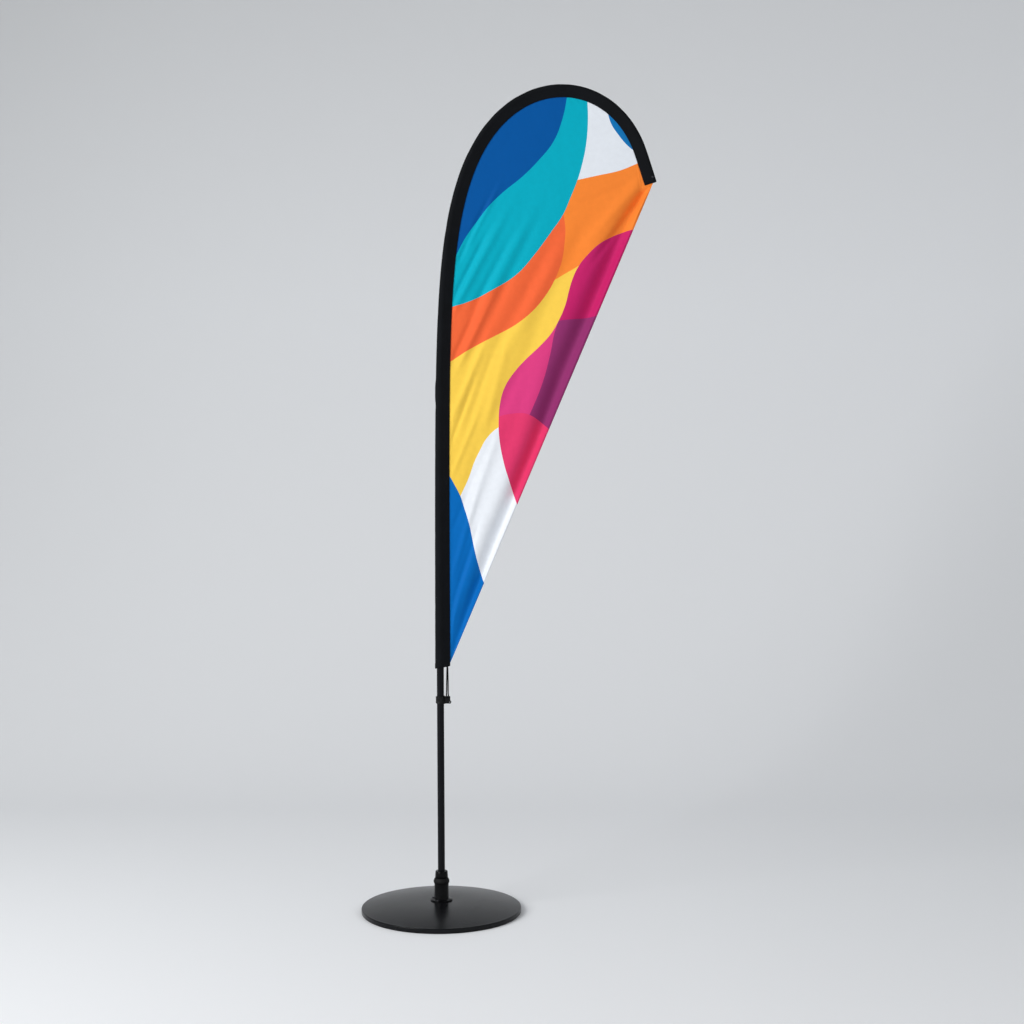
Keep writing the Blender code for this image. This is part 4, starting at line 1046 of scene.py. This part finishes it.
raw_steel = metal("rolled_steel", "77777a", "8b8a88", (0.35, 0.6), 160.0, 0.0001, (1.0, 0.08, 1.0))
ground_steel = metal("ground_steel", "b4b5b8", "c6c7ca", (0.14, 0.3), 600.0, 0.00002)
zinc = metal("zinc_plate", "9a9ca2", "b3b2ac", (0.25, 0.45), 300.0, 0.00004)
black_zinc = metal("black_zinc", "303136", "47484d", (0.25, 0.42), 500.0, 0.00004)
print("metal finishes:", raw_steel.name, ground_steel.name, zinc.name, black_zinc.name)

# %% [markdown]
# ## Finishes for the carried-over pieces
#
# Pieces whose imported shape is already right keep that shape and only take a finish. Most of them are
# inside the hub, the tubes or the pocket.

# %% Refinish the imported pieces
carried = {
    "ballast_plate": raw_steel, "mounting_spacer": raw_steel, "centre_bolt": zinc,
    "lower_outer_race": ground_steel, "lower_inner_race": ground_steel,
    "upper_outer_race": ground_steel, "upper_inner_race": ground_steel,
    "lower_ball_cage": ground_steel, "upper_ball_cage": ground_steel,
    "bearing_spacer": ground_steel, "hub_circlip": ground_steel,
    "mast_joint_spigot": raw_steel, "mast_tube_middle": tube_finish, "mast_ferrule": hub_paint,
    "mast_rod_bush": nylon, "mast_rod_upper": fibre, "tip_ferrule": hub_paint,
    "mast_rod_tip": fibre, "tip_cap": rubber,
}
for name, look in carried.items():
    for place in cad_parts[name].material_slots:
        place.material = look
print(len(carried), "packed pieces refinished")

# %% [markdown]
# ## The base
#
# The base is a heavy steel disc under a pressed cover that rises gently to the middle. Its edge is
# rolled to a small radius, and that radius is what draws a bright line round the rim. The cover's
# section is drawn once, outside and inside, and spun.

# %% Cover and pad
BASE_RADIUS = 0.225
PAD_TOP = 0.002
COVER_WALL = 0.0015
RIM_TOP = 0.014
RIM_ROUND = 0.0022
CROWN_RISE = 0.0179
SEAT_RADIUS = 0.034
BOLT_HOLE = 0.0053
ROUND = 192                      # steps round the base


def cover_side(wall):
    """One side of the cover's section, from the bolt hole to the rim's foot."""
    line = [(BOLT_HOLE, RIM_TOP + CROWN_RISE - wall), (SEAT_RADIUS, RIM_TOP + CROWN_RISE - wall)]
    dome = BASE_RADIUS - RIM_ROUND - SEAT_RADIUS
    for share in np.linspace(0.0, 1.0, 26)[1:]:
        line.append((SEAT_RADIUS + dome * share, RIM_TOP + CROWN_RISE * (1.0 - share ** 2) - wall))
    for angle in np.radians(np.linspace(80.0, 0.0, 7)):
        line.append((BASE_RADIUS - RIM_ROUND + (RIM_ROUND - wall) * math.cos(angle),
                     RIM_TOP - RIM_ROUND + (RIM_ROUND - wall) * math.sin(angle)))
    return line + [(BASE_RADIUS - wall, PAD_TOP + TOUCHING)]


dressed("cover", turned(cover_side(0.0) + cover_side(COVER_WALL)[::-1], ROUND, ring=True),
        powder_coat, 60.0, "base", "base_coat", "base_cover")

pad_edge = BASE_RADIUS - 0.0015
dressed("pad", turned([(0.0, PAD_TOP), (pad_edge - 0.0004, PAD_TOP), (pad_edge, PAD_TOP - 0.0004),
                       (pad_edge, 0.0006), (pad_edge - 0.0006, 0.0), (0.0, 0.0)], ROUND),
        rubber, 50.0, "base", "pad_rubber", "rubber_pad")
print("cover rises", CROWN_RISE * 1000.0, "mm to its middle")

# %% [markdown]
# ## The turning hub
#
# The housing is bolted to the base and holds two bearings. The hub turns in them and carries the
# mast. A rubber seal closes the gap between the two. All three are turned parts, with small fillets
# where a cutter has a round nose, and bevels on their sharp corners.

# %% Housing, hub and seal
FOOT_BOTTOM = 0.0322
FOOT_TOP = 0.0352
FOOT_RADIUS = 0.031
HOUSING_RADIUS = 0.0202
HOUSING_TOP = 0.0794
CAVITY = 0.0188
CAVITY_FLOOR = 0.0399
LEDGE = 0.0162
LEDGE_TOP = 0.0435
SEAL_TOP = 0.0944
HUB_TOP = 0.1145
HUB_BORE = 0.0104                # the mast's foot stands in it
SEAL_BORE = 0.017
SHOULDER = 0.0145
SHOULDER_FOOT = 0.0773           # on the upper bearing
STEM = 0.0122
STEM_FOOT = 0.0409
GROOVE = 0.0109                  # of the circlip under the lower bearing
GROOVE_TOP = 0.0438
GROOVE_FOOT = 0.042

dressed("housing", turned([
    (CAVITY, HOUSING_TOP), (HOUSING_RADIUS - 0.0004, HOUSING_TOP),
    (HOUSING_RADIUS, HOUSING_TOP - 0.0004), (HOUSING_RADIUS, FOOT_TOP + 0.0015),
    (HOUSING_RADIUS + 0.0004, FOOT_TOP + 0.0004), (HOUSING_RADIUS + 0.0015, FOOT_TOP),
    (FOOT_RADIUS - 0.0008, FOOT_TOP), (FOOT_RADIUS - 0.0002, FOOT_TOP - 0.0003),
    (FOOT_RADIUS, FOOT_TOP - 0.0009), (FOOT_RADIUS, FOOT_BOTTOM), (BOLT_HOLE, FOOT_BOTTOM),
    (BOLT_HOLE, CAVITY_FLOOR), (LEDGE, CAVITY_FLOOR), (LEDGE, LEDGE_TOP), (CAVITY, LEDGE_TOP),
], 96, ring=True), hub_paint, 35.0, "base", "hub_paint", "bearing_housing")

dressed("hub", turned([
    (0.0, SOCKET_FLOOR), (HUB_BORE, SOCKET_FLOOR), (HUB_BORE, HUB_TOP - 0.0008),
    (0.011, HUB_TOP), (0.0157, HUB_TOP), (0.0166, HUB_TOP - 0.0004), (0.0171, HUB_TOP - 0.0014),
    (0.0185, SEAL_TOP + 0.0009), (0.0182, SEAL_TOP + TOUCHING), (SEAL_BORE, SEAL_TOP + TOUCHING),
    (SEAL_BORE, HOUSING_TOP + TOUCHING), (SHOULDER, HOUSING_TOP + TOUCHING),
    (SHOULDER, SHOULDER_FOOT), (STEM, SHOULDER_FOOT), (STEM, GROOVE_TOP), (GROOVE, GROOVE_TOP),
    (GROOVE, GROOVE_FOOT), (STEM, GROOVE_FOOT), (STEM, STEM_FOOT), (0.0, STEM_FOOT),
], 96), hub_paint, 35.0, "rotor", "hub_paint", "rotor_hub")

seal_bottom = HOUSING_TOP + TOUCHING
seal_inside = SEAL_BORE + TOUCHING
seal_line = [(seal_inside, SEAL_TOP)]
for share in np.linspace(1.0, 0.0, 15):
    bulge = 0.0025 * math.sin(math.pi * share ** 0.9) ** 0.8
    seal_line.append((0.0205 + (0.0188 - 0.0205) * share + bulge,
                      seal_bottom + (SEAL_TOP - seal_bottom) * share))
dressed("seal", turned(seal_line + [(seal_inside, seal_bottom)], 96, ring=True), rubber, 50.0,
        "rotor", "seal_rubber", "dust_seal")
print("hub stands", round(HUB_TOP * 1000.0, 1), "mm above the floor")

# %% [markdown]
# ## The flange screws
#
# Four button-head screws hold the housing down. A button head is a low dome with a hexagon socket.
# The socket starts as a round pit of the same spin, whose points are then drawn in to a hexagon.

# %% Flange screws
SCREW_SEAT = FOOT_TOP + TOUCHING
SCREW_CIRCLE = 0.0256
FIRST_SCREW_AT = 249.0           # degrees round from +X
SOCKET_SIZE = 0.0014


def hexagoned(shape, radius):
    """Draw a ring of points in to the flats of a hexagon with its corners on the ring."""
    for vertex in shape.verts:
        if abs(vertex.co.xy.length - radius) < WELD:
            angle = math.atan2(vertex.co.y, vertex.co.x) % math.radians(60.0) - math.radians(30.0)
            vertex.co.xy *= math.cos(math.radians(30.0)) / math.cos(angle)
    return shape


for number in range(4):
    angle = math.radians(FIRST_SCREW_AT + 90.0 * number)
    screw = hexagoned(turned([
        (0.0, 0.0009), (SOCKET_SIZE, 0.0009), (SOCKET_SIZE, 0.0022), (0.002, 0.0021),
        (0.0029, 0.0016), (0.0035, 0.0009), (0.0037, 0.0003), (0.0037, 0.0), (0.002, 0.0),
        (0.002, -0.012), (0.0, -0.012),
    ], 24), SOCKET_SIZE)
    put(screw, (SCREW_CIRCLE * math.cos(angle), SCREW_CIRCLE * math.sin(angle), SCREW_SEAT))
    dressed(f"housing_screw_{number + 1}", screw, black_zinc, 40.0, "base", "zinc_steel",
            f"flange_screw_{number + 1}")
print("four button-head screws at", SCREW_CIRCLE * 1000.0, "mm from the middle")

# %% [markdown]
# ## The mast's lowest tube
#
# The lowest tube is the one that shows, between the hub and the pocket. It is a strip wrapped into a
# round tube along the mast's own line, so it leans and bends with the rest.

# %% Lowest tube
def mast_round(radius, start, end):
    """A carrier that wraps a strip round the mast."""
    def carry(around, along):
        angle = -math.tau * around
        return along_mast(start + (end - start) * along, radius * np.cos(angle),
                          radius * np.sin(angle))
    return carry


TUBE_WALL = 0.0012
tube = stand("lower_tube", wrapped(48, 30, mast_round(MAST_RADIUS, TOUCHING, SECTION - 0.00015),
                                   closed=True), tube_finish)
walled(tube, TUBE_WALL)
fitted(tube, "mast", "mast_tube", "mast_tube_lower")
print("lowest tube is", SECTION, "m long")

# %% [markdown]
# ## The collar
#
# A split collar clamps the cord's lower end to the mast. Its band is moulded with two lips and fine
# upright ribs between them, and closes with two ears. The band is a section spun through less than
# a full turn. The ears are outlines with their screw hole and a lobe with an eye for a spare cord.

# %% Liner and band
COLLAR_Z = 0.597
COLLAR_HALF = 0.011
collar_middle = along_mast(COLLAR_Z - SOCKET_FLOOR)
COLLAR_SPOT = (float(collar_middle[0]), 0.0, COLLAR_Z)
BAND_RADIUS = 0.0133
BAND_WAIST = 0.0127              # between the lips
RIBS = 34
RIB_HEIGHT = 0.00035


def part_turned(profile, opening, steps):
    """Spin a closed section about Z, leaving an opening of so many degrees at +X."""
    shape = bmesh.new()
    start = math.radians(opening / 2.0)
    spots = [shape.verts.new((radius * math.cos(start), radius * math.sin(start), height))
             for radius, height in profile]
    face = shape.faces.new(spots)
    made = bmesh.ops.spin(shape, geom=[face, *face.edges, *face.verts], cent=(0.0, 0.0, 0.0),
                          axis=(0.0, 0.0, 1.0), angle=math.tau - 2.0 * start, steps=steps)
    bmesh.ops.remove_doubles(shape, verts=shape.verts, dist=WELD)
    bmesh.ops.recalc_face_normals(shape, faces=shape.faces)
    return shape


liner_half = COLLAR_HALF - 0.0008
dressed("liner", put(part_turned([
    (0.0103, -liner_half), (0.011, -liner_half), (0.011, liner_half), (0.0103, liner_half),
], 16.0, 96), COLLAR_SPOT), rubber, 40.0, "collar", "seal_rubber", "collar_liner")

band = part_turned([
    (0.0113, -COLLAR_HALF), (0.0129, -COLLAR_HALF), (BAND_RADIUS, -COLLAR_HALF + 0.0004),
    (BAND_RADIUS, -0.0058), (0.0131, -0.0053), (BAND_WAIST, -0.0049), (BAND_WAIST, 0.0049),
    (0.0131, 0.0053), (BAND_RADIUS, 0.0058), (BAND_RADIUS, COLLAR_HALF - 0.0004),
    (0.0129, COLLAR_HALF), (0.0113, COLLAR_HALF),
], 11.0, 204)
for vertex in band.verts:
    radius = vertex.co.xy.length
    if abs(radius - BAND_WAIST) < WELD:
        ridge = math.cos(RIBS * math.atan2(vertex.co.y, vertex.co.x))
        vertex.co.xy *= 1.0 + RIB_HEIGHT * ridge / radius
    # the band is a little lower at the back than at the ears
    vertex.co.z *= 0.86 + 0.14 * (vertex.co.x + BAND_RADIUS) / (2.0 * BAND_RADIUS)
print("collar band has", RIBS, "ribs")

# %% Ears of the collar
EYE_SPOT = (0.0235, -0.0065)
EYE_RADIUS = 0.004
CLAMP_SPOT = (0.0168, 0.001)
EAR_LEFT, EAR_RIGHT = COLLAR_SPOT[0] + 0.0116, 0.0245
EAR_HALF = COLLAR_HALF - 0.0008
EAR_THICKNESS = 0.004
EAR_CORNER = 0.002
EAR_GAP = 0.002                  # between the two ears


def ear_rim():
    """Outline of an ear in X and Z about the collar's middle, with its lobe at the lower right."""
    rim = [(EAR_LEFT, -EAR_HALF), (EAR_RIGHT - 0.0035, -EAR_HALF)]
    for degrees in range(-110, 61, 17):
        angle = math.radians(degrees)
        rim.append((EYE_SPOT[0] + EYE_RADIUS * math.cos(angle),
                    EYE_SPOT[1] + EYE_RADIUS * math.sin(angle)))
    rim += [(EAR_RIGHT, -0.0018), (EAR_RIGHT, EAR_HALF - EAR_CORNER)]
    for degrees in range(15, 91, 15):
        angle = math.radians(degrees)
        rim.append((EAR_RIGHT - EAR_CORNER + EAR_CORNER * math.cos(angle),
                    EAR_HALF - EAR_CORNER + EAR_CORNER * math.sin(angle)))
    return rim + [(EAR_LEFT, EAR_HALF)]


for side in (-1.0, 1.0):
    ear = flat_cut([ear_rim(), circle(*EYE_SPOT, 0.0014), circle(*CLAMP_SPOT, 0.0019)],
                   EAR_THICKNESS, 0.0007)
    put(ear, (0.0, side * (EAR_GAP / 2.0 + EAR_THICKNESS / 2.0), COLLAR_Z), FACING_FRONT)
    put(ear, (-COLLAR_SPOT[0], 0.0, -COLLAR_SPOT[2]))
    join(band, ear)
dressed("band", put(band, COLLAR_SPOT), nylon, 35.0, "collar", "black_nylon", "collar_band")
print("ears reach", round(EAR_RIGHT * 1000.0, 1), "mm from the flag's middle")

# %% [markdown]
# ## The clamp screw and its nut
#
# The clamp screw is turned by hand, so its head is knurled. A wave draws the points of the head's
# rim in, which gives grooves without cutting each one. The nut behind it is an ordinary hexagon,
# with its edges rounded.

# %% Clamp screw and nut
HEAD_BACK = 0.0086
HEAD_FRONT = 0.0121
HEAD_RADIUS = 0.0055
SHANK_RADIUS = 0.0016
KNURLS = 24
KNURL_DEPTH = 0.09               # as a share of the radius
SCREW_SPOT = (CLAMP_SPOT[0], 0.0, COLLAR_Z + CLAMP_SPOT[1])

knob = turned([
    (0.0, HEAD_FRONT - 0.0006), (0.0028, HEAD_FRONT - 0.0006), (0.0034, HEAD_FRONT),
    (0.0046, HEAD_FRONT), (0.0052, HEAD_FRONT - 0.0004), (HEAD_RADIUS, HEAD_FRONT - 0.001),
    (HEAD_RADIUS, HEAD_BACK + 0.0005), (0.005, HEAD_BACK), (SHANK_RADIUS, HEAD_BACK),
    (SHANK_RADIUS, -0.0092), (0.0013, -0.0095), (0.0, -0.0095),
], 4 * KNURLS)
for vertex in knob.verts:
    if vertex.co.xy.length > HEAD_RADIUS - 0.0004:
        groove = 0.5 + 0.5 * math.cos(KNURLS * math.atan2(vertex.co.y, vertex.co.x))
        vertex.co.xy *= 1.0 - KNURL_DEPTH * groove
dressed("knob", put(knob, SCREW_SPOT, FACING_FRONT), nylon, 35.0, "clamp_screw", "black_nylon",
        "clamp_screw")

nut = flat_cut([circle(0.0, 0.0, 0.0036, 6), circle(0.0, 0.0, 0.002)], 0.003, 0.0003)
put(nut, (SCREW_SPOT[0], 0.0068, SCREW_SPOT[2]), FACING_FRONT)
dressed("nut", nut, zinc, 35.0, "collar", "zinc_steel", "clamp_nut")
print("knob has", KNURLS, "grooves")

# %% [markdown]
# ## The bungee loop
#
# An elastic loop pulls the pocket down to the collar. It passes through an eyelet in the pocket, runs
# down as two strands side by side and goes round the clamp screw. Its path is a smooth closed curve
# through a few points. A round section is carried along it, turned as little as possible from one
# point to the next, so that the braid doesn't twist.

# %% Path of the loop
CORD_RADIUS = 0.0018
EYELET_RISE = 0.016              # above the pocket's foot
EYELET_INSET = 0.0078            # from the pocket's seam
EYELET_SPOT = Vector((float(along_mast(SLEEVE_FOOT + EYELET_RISE)[0]) + SLEEVE_INSIDE - EYELET_INSET,
                      0.0, SOCKET_FLOOR + SLEEVE_FOOT + EYELET_RISE))
SHANK_SPOT = Vector((SCREW_SPOT[0], -0.0068, SCREW_SPOT[2]))
LOOP_BEND = 0.0034
LOOP_STEPS = 12


def loop_points():
    """Points that the loop passes through, from the eyelet and back to it."""
    middle = (EYELET_SPOT + SHANK_SPOT) / 2.0
    above = SHANK_SPOT.lerp(EYELET_SPOT, 0.2)
    # each point's base, and how far the left strand lies to the right, behind and above it
    strand = [(EYELET_SPOT, (-0.0002, -0.003), -0.0006), (EYELET_SPOT, (-0.0006, -0.0036), -0.0055),
              (middle, (-0.0018, -0.0014), 0.0), (above, (-0.0022, 0.0), 0.0),
              (SHANK_SPOT, (-LOOP_BEND, 0.0), 0.002)]
    left, right = ([base + Vector((side * x, side * y, z)) for base, (x, y), z in strand]
                   for side in (1.0, -1.0))
    bend = [SHANK_SPOT + LOOP_BEND * Vector((math.cos(angle), 0.0, math.sin(angle)))
            for angle in np.radians((190.0, 230.0, 270.0, 310.0, 350.0))]
    return [EYELET_SPOT + Vector((0.0, 0.0, 0.0003))] + left + bend + right[::-1]


def smooth_loop(points, steps):
    """Closed Catmull-Rom curve, whose slope at each point follows the chord of its neighbours."""
    spots = np.array(points)
    before, after, last = np.roll(spots, 1, 0), np.roll(spots, -1, 0), np.roll(spots, -2, 0)
    curve = []
    for t in np.arange(steps) / steps:
        curve.append(0.5 * (2.0 * spots + (after - before) * t
                            + (2.0 * before - 5.0 * spots + 4.0 * after - last) * t ** 2
                            + (3.0 * spots - before - 3.0 * after + last) * t ** 3))
    return np.stack(curve, 1).reshape(-1, 3)


loop = smooth_loop(loop_points(), LOOP_STEPS)
loop_length = float(np.linalg.norm(np.diff(loop, axis=0, append=loop[:1]), axis=1).sum())
print("loop is", round(loop_length * 1000.0), "mm round")

# %% Braid the loop
CORD_SIDES = 14


def carried_frames(line):
    """Two directions across a closed line at every point, carried along with the least turn."""
    ways = np.roll(line, -1, 0) - np.roll(line, 1, 0)
    ways /= np.linalg.norm(ways, axis=1)[:, None]
    across = np.array([0.0, 1.0, 0.0]) - ways[0] * ways[0][1]
    frames = []
    for way in ways:
        across = across - way * (across @ way)
        across /= np.linalg.norm(across)
        frames.append((across, np.cross(way, across)))
    return frames


frames = carried_frames(loop)
frames.append(frames[0])
closed_loop = np.vstack([loop, loop[:1]])


def on_cord(around, along):
    """Points of the cord's skin: around it, and along the loop."""
    step = np.rint(along * (len(closed_loop) - 1)).astype(int)
    first = np.array([frames[i][0] for i in step])
    second = np.array([frames[i][1] for i in step])
    angle = -math.tau * around[:, None]
    return closed_loop[step] + CORD_RADIUS * (first * np.cos(angle) + second * np.sin(angle))


cord_reach = (math.tau * CORD_RADIUS, loop_length)
braid = woven("cord_braid", "0b0c0d", "15161a", 0.0009, 0.0003, cord_reach, 0.75)
bungee = stand("bungee", wrapped(CORD_SIDES, len(loop), on_cord, closed=True), braid)
fitted(bungee, "mast", "cord_braid", "bungee_cord")
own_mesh(bungee)
print("bungee has", len(bungee.data.polygons), "faces")

# %% [markdown]
# ## The webbing and its eyelet
#
# A short piece of webbing is sewn into the corner of the pocket, so that the cord pulls on the seam
# and not on one layer of cloth. An eyelet, plated black, lines its hole. The webbing is an outline
# with that hole. The eyelet is turned, with rolled flanges.

# %% Webbing and eyelet
web_left, web_right = EYELET_SPOT.x - 0.0052, EYELET_SPOT.x + 0.0063
web_low, web_high = -0.0075, 0.028
web_rim = [(web_left, web_low + 0.001), (web_left + 0.001, web_low), (web_right - 0.001, web_low),
           (web_right, web_low + 0.001), (web_right, web_high), (web_left, web_high)]
web_size = (web_right - web_left, web_high - web_low)
webbing_look = woven("webbing", "0e0f11", "191a1e", 0.0014, 0.0003, web_size, 0.7)
webbing = flat_cut([web_rim, circle(EYELET_SPOT.x, 0.0, 0.0031)], 0.0012, 0.0003)
weave_map = webbing.loops.layers.uv.new(STRIP_MAP)
for face in webbing.faces:
    for corner in face.loops:
        spot = corner.vert.co
        corner[weave_map].uv = ((spot.x - web_left) / web_size[0],
                                (spot.y - web_low) / web_size[1])
put(webbing, (0.0, 0.0, EYELET_SPOT.z), FACING_FRONT)
dressed("webbing", webbing, webbing_look, 40.0, "mast", "sleeve_fabric", "tack_webbing")

eyelet = put(turned([
    (0.0022, 0.0012), (0.0026, 0.0016), (0.0036, 0.0016), (0.0044, 0.0012), (0.0045, 0.0009),
    (0.0028, 0.0009), (0.0028, -0.0009), (0.0045, -0.0009), (0.0044, -0.0012), (0.0036, -0.0016),
    (0.0026, -0.0016), (0.0022, -0.0012),
], 40, ring=True), EYELET_SPOT, FACING_FRONT)
dressed("eyelet", eyelet, black_zinc, 40.0, "mast", "zinc_steel", "tack_eyelet")
print("eyelet stands at", round(EYELET_SPOT.z, 3), "m")

# %% [markdown]
# ## The rivets at the tip
#
# A rivet through the pocket's closed end keeps the mast's tip in place. Its head is a low dome with a
# flat rim, one on each face.

# %% Rivets
RIVET_BACK = 0.015               # from the pocket's closed end
rivet_at = SLEEVE_TIP - RIVET_BACK
for name, node, side, turn in (("front_rivet", "tip_rivet_front", -1.0, FACING_FRONT),
                               ("back_rivet", "tip_rivet_back", 1.0, FACING_BACK)):
    head = turned([(0.0, 0.0016), (0.0009, 0.0015), (0.0017, 0.0012), (0.0023, 0.0007),
                   (0.0026, 0.0004), (0.0031, 0.0004), (0.0032, 0.0002), (0.0032, 0.0), (0.0, 0.0)],
                  32)
    away = float(pocket_outside(rivet_at)) + TOUCHING
    put(head, Vector(along_mast(rivet_at, 0.0, side * away)), turn)
    dressed(name, head, black_zinc, 50.0, "mast", "zinc_steel", node)
print("two rivets, one on each face")
